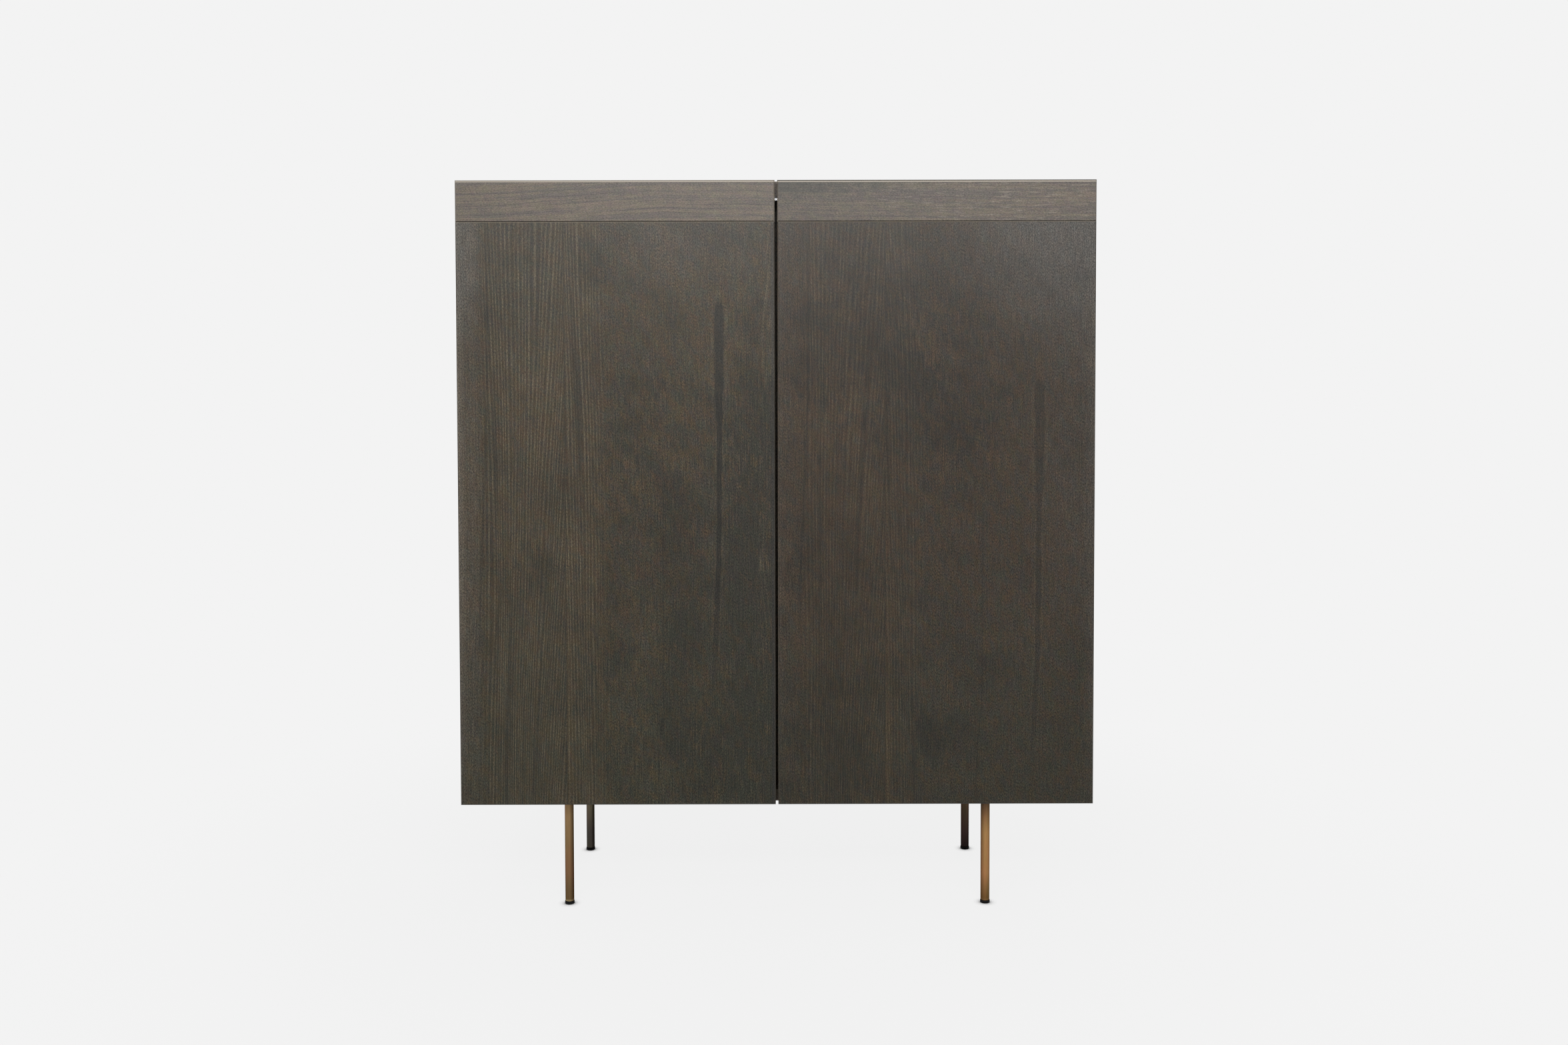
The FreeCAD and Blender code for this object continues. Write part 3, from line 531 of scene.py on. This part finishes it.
def bandMaterial(name, look):
    made, tree, axes = newMaterial(name)
    # on an end that faces the side, the lipping runs from front to back
    atEnd = fade(tree, calc(tree, "ABSOLUTE", axesOf(tree, "Normal")["X"]), 0.7, 0.72)
    along = minus(tree, axes["X"], look["start"])
    along = calc(tree, "MULTIPLY_ADD", atEnd, minus(tree, axes["Y"], along), along)
    across = calc(tree, "MULTIPLY_ADD", axes["Y"], minus(tree, 1, atEnd), axes["Z"])
    figure = placed(tree, bandGroup, Across=across, Along=along, Rise=look["rise"], Seed=look["seed"])
    grain = placed(tree, grainGroup, Across=figure["Bent"], Along=along, Through=0,
                   Pitch=0.006, Wander=0.01, Seed=look["seed"])
    sheets = plus(tree, figure["Sheets"], around(tree, grain["Warmth"], 0.7))
    colour = mixed(tree, fade(tree, sheets, 0.39, 0.61), bandLook["violet"], bandLook["tan"])
    colour = tinted(tree, colour, around(tree, grain["Moss"], -4), oakLook["mossy"], oakLook["plummy"])
    corner = plus(tree, times(tree, along, 0.1), minus(tree, cabinetTop, axes["Z"]))  # from the upper left corner
    corner = plus(tree, corner, around(tree, grain["Warmth"], 0.06))
    colour = mixed(tree, fade(tree, corner, 0.05, 0.01, 0, look["shade"]), colour, bandLook["green"])
    colour = mixed(tree, times(tree, figure["Veins"], look["veins"]), colour, bandLook["vein"])
    flecks = fade(tree, along, look["fleckFrom"], look["fleckTo"], 0.25 * look["flecks"], look["flecks"])
    colour = mixed(tree, times(tree, figure["Flecks"], flecks), colour, bandLook["fleck"])
    pores = fade(tree, grain["Pores"], 0.2, 0.8, *bandLook["pores"])
    level = times(tree, fade(tree, grain["Fibre"], 0.2, 0.8, *bandLook["fibre"]), pores)
    colour = shaded(tree, colour, times(tree, level, fade(tree, along, 0, 0.6, *look["level"])))
    # painted highlight on the eased edges and as a light line along the top, painted shade on edges that face down
    edgeLightAndShade = easedEdges(tree)
    topHighlight = fade(tree, awayFrom(tree, axes["Z"], look["topHighlightAt"]), 0.0004, 0.0015, look["topHighlight"], 0)
    rubbed = most(tree, times(tree, edgeLightAndShade["Rubbed"], bandLook["edgeLightAndShade"]), topHighlight)
    colour = mixed(tree, rubbed, colour, oakLook["rubbed"])
    arris = fade(tree, axes["Z"], *bandLook["arrisAt"], 0, look["arris"])
    darkened = most(tree, times(tree, edgeLightAndShade["Under"], bandLook["edgeLightAndShade"]), arris)
    lacquered(tree, mixed(tree, darkened, colour, oakLook["dark"]), grain["Pores"])
    return made


oak = {
    "leftDoor": oakMaterial("stainedOakLeftDoor", "X", "Z", "Y", 3, 0.006, doorLook["left"]),
    "rightDoor": oakMaterial("stainedOakRightDoor", "X", "Z", "Y", 3.4, 0.006, doorLook["right"]),
    "leftBand": bandMaterial("stainedOakLeftBand", bandLook["left"]),
    "rightBand": bandMaterial("stainedOakRightBand", bandLook["right"]),
    "top": bandMaterial("stainedOakTop", bandLook["top"]),
    "caseUpright": oakMaterial("stainedOakUpright", "Y", "Z", "X", 12),
    "caseLevel": oakMaterial("stainedOakLevel", "Y", "X", "Z", 14),
    "back": oakMaterial("stainedOakBack", "X", "Z", "Y", 16),
    "inside": oakMaterial("stainedOakInside", "Y", "X", "Z", 18),
}
print("oak materials built")

metalLook = {
    "fineness": 900,  # brush marks across one metre
    "marks": (1, 30, 1), "patina": (45, 9, 45),
    "relief": 0.00005,
    "nickel": {"bright": (0.52, 0.5, 0.47, 1), "dull": (0.42, 0.4, 0.37, 1), "roughness": 0.28, "along": "Z"},
    "zinc": {"bright": (0.5, 0.51, 0.52, 1), "dull": (0.36, 0.37, 0.38, 1), "roughness": 0.36, "along": "X"},
}


# Brushed and burnished metal
def buildBrushed():
    tree, (across, along, through, fineness), give = newGroup(
        "brushedMetal", ["Across", "Along", "Through", "Fineness"], ["Brush", "Patina"])
    give("Patina", cloud(tree, (across, along, through), metalLook["patina"], 3, 0.55))
    fine = (times(tree, across, fineness), along, times(tree, through, fineness))
    give("Brush", cloud(tree, fine, metalLook["marks"], 3, 0.6))
    return tree


brushedGroup = buildBrushed()


def brushedBy(tree, across, along, through):
    return placed(tree, brushedGroup, Across=across, Along=along, Through=through, Fineness=metalLook["fineness"])


def polished(tree, colour, brush, smoothest, roughest, **more):
    surface(tree, colour=colour, rough=fade(tree, brush, 0.3, 0.7, smoothest, roughest),
            normal=bumped(tree, brush, 0.15, metalLook["relief"]), metal=1, **more)


def metalMaterial(name, look):
    made, tree, axes = newMaterial(name)
    across, through = [axes[letter] for letter in "XYZ" if letter != look["along"]]
    brushed = brushedBy(tree, across, axes[look["along"]], through)
    colour = mixed(tree, fade(tree, brushed["Patina"], 0.36, 0.64, 0.4, 1), look["dull"], look["bright"])
    colour = mixed(tree, fade(tree, brushed["Brush"], 0.25, 0.75, 0, 0.25), colour, look["dull"])
    polished(tree, colour, brushed["Brush"], look["roughness"] - 0.06, look["roughness"] + 0.08)
    return made


legLook = {
    # for each height above the floor, the colour there: brass tone with painted shade, dark near the top under the
    # cabinet and all along the back legs; sides: painted shade, how much of the colour the tube keeps on its left
    # and right
    "leg_front_left": {"sides": (1.05, 0.5), "toneAndShade": [
        (0.007, (0.385, 0.28, 0.17)), (0.011, (0.195, 0.114, 0.057)), (0.031, (0.204, 0.12, 0.062)),
        (0.06, (0.25, 0.142, 0.073)), (0.117, (0.27, 0.16, 0.08)), (0.175, (0.34, 0.2, 0.104)),
        (0.2, (0.23, 0.138, 0.076)), (0.213, (0.15, 0.098, 0.054))]},
    "leg_front_right": {"sides": (0.7, 0.8), "toneAndShade": [
        (0.007, (0.26, 0.148, 0.064)), (0.011, (0.204, 0.111, 0.04)), (0.03, (0.27, 0.159, 0.061)),
        (0.06, (0.43, 0.235, 0.098)), (0.14, (0.44, 0.24, 0.1)), (0.175, (0.24, 0.142, 0.065)),
        (0.197, (0.1, 0.066, 0.038)), (0.213, (0.06, 0.044, 0.032))]},
    "leg_back_left": {"sides": (1, 0.35), "toneAndShade": [
        (0.007, (0.102, 0.085, 0.071)), (0.04, (0.088, 0.075, 0.068)), (0.12, (0.195, 0.148, 0.096)),
        (0.213, (0.33, 0.25, 0.155))]},
    "leg_back_right": {"sides": (1, 0.9), "toneAndShade": [
        (0.007, (0.026, 0.02, 0.019)), (0.04, (0.052, 0.034, 0.03)), (0.12, (0.1, 0.066, 0.038)),
        (0.213, (0.135, 0.096, 0.052))]},
}
brassLook = {
    "greenish": (0.93, 1.01, 0.93, 1),
    "reddish": (1.1, 0.97, 1, 1),
    "roughness": (0.36, 0.5),
    "edgeTint": (0.4, 0.4, 0.4, 1),  # keeps the tube's sides from shining
}


# Round brass leg: its colour changes along its height, with painted shade near the top and on the back legs;
# painted shade darkens its sides
def brassMaterial(name, look):
    made, tree, axes = newMaterial(name)
    brushed = brushedBy(tree, axes["X"], axes["Z"], axes["Y"])
    # colour by height, with painted shade where the cabinet shades the leg
    ramp = shader(tree, "ValToRGB")
    reach = look["toneAndShade"][-1][0]
    feed(tree, calc(tree, "DIVIDE", axes["Z"], reach), ramp.inputs[0])
    stops = ramp.color_ramp.elements
    while len(stops) < len(look["toneAndShade"]):
        stops.new(1)
    for stop, (height, colour) in zip(stops, look["toneAndShade"]):
        stop.position = height / reach
        stop.color = (*colour, 1)
    patina = around(tree, brushed["Patina"], 7)
    colour = tinted(tree, ramp.outputs[0], patina, brassLook["greenish"], brassLook["reddish"])
    colour = shaded(tree, colour, fade(tree, brushed["Brush"], 0.25, 0.75, 1.08, 0.92))
    # painted shade on the tube's left and right sides
    facing = axesOf(tree, "Normal")["X"]
    left = fade(tree, facing, -0.15, -1, 1, look["sides"][0])
    right = fade(tree, facing, 0.1, 0.9, 1, look["sides"][1])
    colour = shaded(tree, colour, times(tree, left, right))
    polished(tree, colour, brushed["Brush"], *brassLook["roughness"], tint=brassLook["edgeTint"])
    return made


nickel = metalMaterial("nickelSteel", metalLook["nickel"])
zinc = metalMaterial("zincSteel", metalLook["zinc"])


plasticLook = {
    "black": {"colour": (0.003, 0.003, 0.003, 1), "roughness": 0.6, "gloss": 0.12},
    "white": {"colour": (0.74, 0.74, 0.72, 1), "roughness": 0.38, "gloss": 0.5},
    "grain": (2600, 2600, 2600), "relief": 0.00003,
    "dust": (60, 60, 60),
}


# Moulded plastic with a fine grain from its mould
def plasticMaterial(name, look):
    made, tree, axes = newMaterial(name)
    spot = (axes["X"], axes["Y"], axes["Z"])
    grain = cloud(tree, spot, plasticLook["grain"])
    dust = fade(tree, cloud(tree, spot, plasticLook["dust"], 2), 0.4, 0.7, 0, 0.6)
    dusty = tuple(min(1, part * 1.25 + 0.004) for part in look["colour"][:3]) + (1,)
    rough = look["roughness"]
    surface(tree, colour=mixed(tree, dust, look["colour"], dusty), gloss=look["gloss"],
            rough=fade(tree, grain, 0.3, 0.7, rough - 0.05, rough + 0.05),
            normal=bumped(tree, grain, 0.25, plasticLook["relief"]))
    return made


blackPlastic = plasticMaterial("blackPlastic", plasticLook["black"])
whitePlastic = plasticMaterial("whitePlastic", plasticLook["white"])


beechLook = {"dark": (0.5, 0.33, 0.19, 1), "light": (0.66, 0.48, 0.3, 1), "pitch": 0.004, "roughness": (0.55, 0.7)}


def beechMaterial():
    made, tree, axes = newMaterial("plainBeech")
    grain = placed(tree, grainGroup, Across=axes["Y"], Along=axes["Z"], Through=axes["X"],
                   Pitch=beechLook["pitch"], Wander=0.01, Seed=5)
    surface(tree, colour=mixed(tree, grain["Fibre"], beechLook["dark"], beechLook["light"]),
            rough=fade(tree, grain["Fibre"], 0.3, 0.7, *beechLook["roughness"]))
    return made


glassLook = {
    "smeared": (0.9, 0.96, 0.94, 1), "clean": (0.94, 0.98, 0.96, 1),
    "smear": (9, 14, 9), "bending": 1.5,
}


def glassMaterial():
    made, tree, axes = newMaterial("clearGlass")
    smear = cloud(tree, (axes["X"], axes["Y"], axes["Z"]), glassLook["smear"], 3)
    surface(tree, colour=mixed(tree, smear, glassLook["smeared"], glassLook["clean"]),
            rough=fade(tree, smear, 0.4, 0.75, 0.01, 0.06), clear=1, bending=glassLook["bending"])
    return made


finishes = {
    "left_door_panel": oak["leftDoor"], "right_door_panel": oak["rightDoor"],
    "left_door_band": oak["leftBand"], "right_door_band": oak["rightBand"],
    "left_side_panel": oak["caseUpright"], "right_side_panel": oak["caseUpright"],
    "centre_divider": oak["caseUpright"],
    "top_panel": oak["top"], "bottom_panel": oak["caseLevel"], "back_panel": oak["back"],
    "counter": oak["inside"], "fold_out_leaf": oak["inside"], "glass_shelf": glassMaterial(),
    "case_dowels": beechMaterial(), "latch_housing": zinc, "leg_glides": blackPlastic,
    "left_latch_plunger": whitePlastic, "right_latch_plunger": whitePlastic,
}


def finishOf(name):
    if name in finishes:
        return finishes[name]
    if name in legLook:
        return brassMaterial("burnishedBrassPaintedShade_" + name, legLook[name])
    if "_shelf_" in name and "pins" not in name:
        return oak["inside"]
    if "screws" in name or name == "leg_plates" or name.endswith("shelf_pins"):
        return zinc
    return nickel


for name, piece in nodes.items():
    piece.material_slots[0].material = finishOf(name)
print("finishes given to every node")

# Small hardware: each piece stands where its plainer solid is
bodyOf = {node: body for body, members in frame["record"]["behaviour"]["bodies"].items() for node in members}
millimetre = 0.001


def solidBoxes(node):
    # lowest and highest corner of each separate solid in a node
    mesh = nodes[node].data
    spots = [tuple(round(value * 1e5) for value in vertex.co) for vertex in mesh.vertices]
    leader = {spot: spot for spot in spots}

    def first(spot):
        while leader[spot] != spot:
            spot = leader[spot]
        return spot

    for face in mesh.polygons:
        for index in face.vertices[1:]:
            leader[first(spots[index])] = first(spots[face.vertices[0]])
    members = {}
    for spot in leader:
        members.setdefault(first(spot), []).append(spot)
    return [[Vector(edge(spot[axis] for spot in group) * 1e-5 for axis in range(3)) for edge in (min, max)]
            for group in members.values()]


def axesAlong(into):
    into = Vector(into)
    side = Vector((0, 0, 1)) if abs(into.z) < 0.5 else Vector((1, 0, 0))
    return side, into.cross(side), into


def ring(shape, at, axes, radius, depth, sides):
    side, over, into = axes
    points = []
    for index in range(sides):
        turn = 2 * math.pi * index / sides
        spoke = (side * math.cos(turn) + over * math.sin(turn)) * radius
        points.append(shape.verts.new(at + (into * depth + spoke) * millimetre))
    return points


def joinRings(shape, first, second):
    for index in range(len(first)):
        shape.faces.new((first[index - 1], first[index], second[index], second[index - 1]))


def turnedPart(shape, at, axes, outline, sides, openStart=False):
    rings = [ring(shape, at, axes, radius, depth, sides) for radius, depth in outline]
    for first, second in zip(rings, rings[1:]):
        joinRings(shape, first, second)
    if not openStart:
        shape.faces.new(rings[0])
    shape.faces.new(rings[-1])
    return rings[0]


def turnOf(spot):
    return math.atan2(spot.y, spot.x) % (2 * math.pi)


def crossRecess(shape, at, axes, rim, radius, turn):
    # a cross with four equal arms, sunk in the head inside the ring of points rim
    side, over, into = axes
    reach, arm, depth = (radius * screwLook[name] for name in ("reach", "arm", "depth"))
    quarter = [(reach, -arm), (reach, arm), (arm, arm)]
    corners = []
    for step in range(4):
        spun = Matrix.Rotation(step * math.pi / 2, 2)
        corners += [spun @ Vector(corner) for corner in quarter]
    turned = Matrix.Rotation(turn, 2)
    corners = sorted((turned @ corner for corner in corners), key=turnOf)
    top, foot = [], []
    for spot in corners:
        away = side * spot.x + over * spot.y
        top.append(shape.verts.new(at + away * millimetre))
        foot.append(shape.verts.new(at + (away * screwLook["foot"] + into * depth) * millimetre))
    # triangles between rim and cross, once round both
    stops = [(2 * math.pi * index / len(rim), False, index) for index in range(len(rim))]
    stops += [(turnOf(spot), True, index) for index, spot in enumerate(corners)]
    onRim, onCross = rim[-1], top[-1]
    for _, isCorner, index in sorted(stops):
        point = top[index] if isCorner else rim[index]
        shape.faces.new((onRim, point, onCross))
        onRim, onCross = (onRim, point) if isCorner else (point, onCross)
    joinRings(shape, top, foot)
    shape.faces.new(foot)


def slab(shape, outline, push):
    first = [shape.verts.new(spot) for spot in outline]
    second = [shape.verts.new(spot + push) for spot in outline]
    joinRings(shape, first, second)
    shape.faces.new(first)
    shape.faces.new(second)


sharpEdge = math.radians(32)  # edges that turn more than this stay sharp


def hardware(form, node, build):
    name = node + "_" + form
    shape = bmesh.new()
    build(shape, solidBoxes(node))
    bmesh.ops.recalc_face_normals(shape, faces=shape.faces)
    for face in shape.faces:
        face.smooth = True
    for edge in shape.edges:
        edge.smooth = edge.calc_face_angle(math.pi) < sharpEdge
    mesh = bpy.data.meshes.new(name)
    shape.to_mesh(mesh)
    shape.free()
    mesh.materials.append(finishOf(node))
    piece = bpy.data.objects.new(name, mesh)
    bpy.context.scene.collection.objects.link(piece)
    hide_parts(node)
    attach(piece, bodyOf[node])


screwLook = {
    "sides": 28,
    "lift": 0.08,               # head above the plate, in millimetres
    "tip": 0.25, "taper": 2.2,  # radius at the tip and length of the point, in millimetres
    "turn": 0.7,                # each cross is turned by this much more than the last
    # shares of the head's radius
    "reach": 0.6, "arm": 0.15, "depth": 0.5,  # cross recess
    "foot": 0.62,                             # size of the recess at its foot, as a share of the mouth
    "shank": 0.52,
    "domed": [(0.66, 0), (0.86, 0.05), (0.97, 0.18), (1, 0.36), (1, 0.57), (0.52, 0.57)],
    "flat": [(0.955, 0), (0.99, 0.03), (0.52, 0.5)],
    # way in from the head; out is to the nearer side of the cabinet
    "ways": {
        "left_hinge_cup_screws": (0, -1, 0), "right_hinge_cup_screws": (0, -1, 0),
        "hinge_plate_screws": "out", "hinge_arm_screws": "out",
        "latch_screws": (0, 0, 1), "leg_plate_screws": (0, 0, 1),
        "leaf_hinge_counter_screws": (0, 1, 0), "leaf_hinge_leaf_screws": (0, 1, 0),
    },
}


def screwBuilder(node):
    way = screwLook["ways"][node]
    head = screwLook["domed" if node == "hinge_arm_screws" else "flat"]

    def build(shape, solids):
        for index, (low, high) in enumerate(solids):
            middle, size = (low + high) / 2, high - low
            into = Vector((math.copysign(1, middle.x), 0, 0)) if way == "out" else Vector(way)
            length = abs(size.dot(into)) / millimetre
            radius = max(value for value, part in zip(size, into) if part == 0) / 2 / millimetre
            at = middle - into * (length / 2 + screwLook["lift"]) * millimetre
            outline = [(share * radius, depth * radius) for share, depth in head]
            outline += [(screwLook["shank"] * radius, length - screwLook["taper"]), (screwLook["tip"], length)]
            axes = axesAlong(into)
            rim = turnedPart(shape, at, axes, outline, screwLook["sides"], openStart=True)
            crossRecess(shape, at, axes, rim, radius, screwLook["turn"] * index)
    return build


for node in screwLook["ways"]:
    hardware("crossHead", node, screwBuilder(node))

turnedLook = {
    # number of sides, then (radius, depth) in millimetres from one end to the other
    "glide": (48, [(8.3, 0), (9.1, 0.35), (9.35, 1), (9.25, 4.6), (8.9, 5.5), (5, 5.5), (5, 16.5)]),
    "shelfPin": (24, [
        (2.2, 0), (2.5, 0.3), (2.5, 8.52), (3.4, 8.52), (3.4, 9.2), (3.2, 9.38), (2.5, 9.4), (2.5, 16.4),
        (2, 17)]),
    "strike": (40, [(5.8, 0.35), (6.4, 0), (7.7, 0), (8, 0.3), (8, 1), (2, 1), (2, 10)]),
    "cup": (56, [
        (15, 14.3), (16, 13.9), (16.3, 13.2), (16.3, 1.25), (16.45, 1), (17.3, 1), (17.5, 1.2), (17.5, 14.9),
        (16.9, 15.7)]),
}
pinInWood = 8.5


def turnedFrom(shape, kind, at, into):
    sides, outline = turnedLook[kind]
    turnedPart(shape, at, axesAlong(into), outline, sides)


def glides(shape, solids):
    for low, high in solids:
        middle = (low + high) / 2
        turnedFrom(shape, "glide", Vector((middle.x, middle.y, low.z)), (0, 0, 1))


def shelfPins(shape, solids):
    for low, high in solids:
        middle = (low + high) / 2
        # out of the divider near the middle, inwards from the sides
        out = Vector((math.copysign(1, middle.x), 0, 0)) * (-1 if abs(middle.x) > 0.3 else 1)
        turnedFrom(shape, "shelfPin", middle - out * pinInWood * millimetre, out)


def strike(shape, solids):
    low, high = solids[0]
    middle = (low + high) / 2
    turnedFrom(shape, "strike", Vector((middle.x, high.y, middle.z)), (0, -1, 0))


cupLook = {
    # millimetres from the bowl's middle; across is measured towards the middle of the door
    "mouth": 16.3,
    "wingFrom": -1.5, "wingTo": 14.5, "wingReach": 31, "wingRound": 5, "wingThick": 1.05,
    "lugFrom": 8.1, "lugTo": 14.9, "lugLow": 5.4, "lugBend": 7.3, "lugHigh": 10.5, "lugWall": 16.6,
    "lugTop": 7.6, "lugFoot": 14.5,
    "mouthSteps": 12, "roundSteps": 6, "wallSteps": 4,
}


def wingOutline():
    look, outline = cupLook, []
    for step in range(look["mouthSteps"] + 1):
        across = look["wingFrom"] + (look["wingTo"] - look["wingFrom"]) * step / look["mouthSteps"]
        outline.append((across, math.sqrt(look["mouth"] ** 2 - across ** 2)))
    curve = look["wingRound"]
    for edge, start in ((look["wingTo"] - curve, 0), (look["wingFrom"] + curve, math.pi / 2)):
        for step in range(look["roundSteps"] + 1):
            turn = start + math.pi / 2 * step / look["roundSteps"]
            outline.append((edge + curve * math.cos(turn), look["wingReach"] + curve * (math.sin(turn) - 1)))
    return outline


def lugOutline():
    look = cupLook
    outline = [(look["lugFrom"], look["lugHigh"])]
    outline += [(across, look["lugLow"]) for across in (look["lugFrom"], look["lugTo"])]
    for step in range(look["wallSteps"] + 1):
        up = look["lugBend"] + (look["lugHigh"] - look["lugBend"]) * step / look["wallSteps"]
        outline.append((math.sqrt(look["lugWall"] ** 2 - up ** 2), up))
    return outline


def cup(shape, solids):
    # pressed bowl, two wings for its screws and two lugs for the pin
    low, high = solids[0]
    at = Vector(((low.x + high.x) / 2, high.y, (low.z + high.z) / 2))
    inwards = -math.copysign(1, at.x)
    turnedFrom(shape, "cup", at, (0, -1, 0))

    def spot(across, up, depth=0):
        return at + Vector((inwards * across, -depth, up)) * millimetre

    def push(depth):
        return Vector((0, depth, 0)) * millimetre

    look = cupLook
    for side in (-1, 1):
        slab(shape, [spot(across, side * up) for across, up in wingOutline()], push(-look["wingThick"]))
        lug = [spot(-across, side * up, look["lugTop"]) for across, up in lugOutline()]
        slab(shape, lug, push(look["lugTop"] - look["lugFoot"]))


hardware("moulded", "leg_glides", glides)
for node in ("shelf_pins", "glass_shelf_pins"):
    hardware("collared", node, shelfPins)
for side in ("left", "right"):
    hardware("dished", side + "_strike_plate", strike)
for side in ("left", "right"):
    for level in ("lower", "middle", "upper"):
        hardware("pressed", side + "_hinge_cup_" + level, cup)
print("hardware built")

# Floor, surroundings, lamps and camera
light = {
    "paper": 0.896,             # level of the plain background
    "sky": 0.33,                # light from all round
    "floorColour": 0.35,        # what the floor throws back
    "catchLevel": 0.8,          # brings the lit share of the floor to the level of the paper
    "shadowShare": 0.06,        # share of the floor that takes the shadow, as the camera sees it
    "shadowShareInMetal": 0.8,  # the same as seen in metal and glass, close to the legs
    "shadowEnds": (0.6, 1.6),   # how far from the middle it starts to fade, and ends
    "contact": 0.016,           # reach of the dim rim where something touches the floor
    "floorSize": 60,
    "frontPanel": {"place": (-0.2, -2.4, 2.75), "aim": (0, -0.2, 0.9), "size": (2.2, 1), "power": 35},
    "frontStrip": {"place": (0.1, -2.9, 2.05), "aim": (0, -0.2, 1.2), "size": (2.8, 0.35), "power": 52},
    "backPanel": {"place": (0.8, 3.4, 2.6), "aim": (0, 0, 0.7), "size": (2.8, 1.4), "power": 60},
}


def mirrorRays(tree):
    path = shader(tree, "LightPath").outputs
    return most(tree, path["Is Glossy Ray"], path["Is Transmission Ray"])


def sightRays(tree):
    return most(tree, shader(tree, "LightPath").outputs["Is Camera Ray"], mirrorRays(tree))


def glow(tree, kind, level):
    made = shader(tree, kind)
    feed(tree, (1, 1, 1, 1), made.inputs["Color"])
    feed(tree, level, made.inputs["Strength"])
    return made.outputs[0]


def blended(tree, share, first, second):
    made = shader(tree, "MixShader")
    for value, socket in zip((share, first, second), made.inputs):
        feed(tree, value, socket)
    return made.outputs[0]


def buildSky():
    world = bpy.data.worlds.new("studio")
    bpy.context.scene.world = world
    world.use_nodes = True
    tree = world.node_tree
    tree.nodes.clear()
    sky, paper = (glow(tree, "Background", light[name]) for name in ("sky", "paper"))
    sky = blended(tree, sightRays(tree), sky, paper)
    feed(tree, sky, shader(tree, "OutputWorld").inputs[0])


def matt(tree, level):
    made = shader(tree, "BsdfDiffuse")
    feed(tree, (level, level, level, 1), made.inputs["Color"])
    return made.outputs[0]


def buildFloor():
    bpy.ops.mesh.primitive_plane_add(size=light["floorSize"], location=(0, 0, 0))
    floor = bpy.context.object
    floor.name = "floor"
    made = bpy.data.materials.new("paperFloor")
    made.use_nodes = True
    tree = made.node_tree
    tree.nodes.clear()
    away = shader(tree, "VectorMath", operation="LENGTH")
    feed(tree, shader(tree, "TexCoord").outputs["Object"], away.inputs[0])
    near = fade(tree, away.outputs["Value"], *light["shadowEnds"], 1, 0)
    share = fade(tree, mirrorRays(tree), 0, 1, light["shadowShare"], light["shadowShareInMetal"])
    touch = shader(tree, "AmbientOcclusion", samples=8)
    touch.inputs["Distance"].default_value = light["contact"]
    level = times(tree, fade(tree, touch.outputs["AO"], 0.45, 1, 0.2, 1), light["paper"])
    shown = blended(tree, times(tree, near, share), glow(tree, "Emission", level), matt(tree, light["catchLevel"]))
    both = blended(tree, sightRays(tree), matt(tree, light["floorColour"]), shown)
    feed(tree, both, shader(tree, "OutputMaterial").inputs[0])
    floor.data.materials.append(made)


def softPanel(name):
    look = light[name]
    data = bpy.data.lights.new(name, "AREA")
    data.shape = "RECTANGLE"
    data.size, data.size_y = look["size"]
    data.energy = look["power"]
    lamp = bpy.data.objects.new(name, data)
    lamp.visible_camera = False
    bpy.context.scene.collection.objects.link(lamp)
    lamp.location = look["place"]
    way = Vector(look["aim"]) - Vector(look["place"])
    lamp.rotation_euler = way.to_track_quat("-Z", "Y").to_euler()


buildSky()
buildFloor()
for name in ("frontPanel", "frontStrip", "backPanel"):
    softPanel(name)
print("stage and lamps set")

cameraLook = {
    "place": (0.0095, -2.938, 1.0593),
    "lens": 33.17,
    "down": 2.129,  # degrees below level
    "turn": -0.105,
    "roll": -0.109,
    "shift": -0.0697,
    "sensor": 36,
    "nearest": 0.05, "furthest": 100,
}
cameraData = bpy.data.cameras.new("camera")
cameraData.lens = cameraLook["lens"]
cameraData.sensor_width = cameraLook["sensor"]
cameraData.shift_y = cameraLook["shift"]
cameraData.clip_start, cameraData.clip_end = cameraLook["nearest"], cameraLook["furthest"]
camera = bpy.data.objects.new("camera", cameraData)
bpy.context.scene.collection.objects.link(camera)
turned = Euler((math.radians(90 - cameraLook["down"]), 0, math.radians(cameraLook["turn"]))).to_matrix()
turned = turned @ Matrix.Rotation(math.radians(cameraLook["roll"]), 3, "Z")
camera.matrix_world = Matrix.Translation(cameraLook["place"]) @ turned.to_4x4()
bpy.context.scene.camera = camera
bpy.context.scene.view_settings.view_transform = "Standard"
print("camera set")
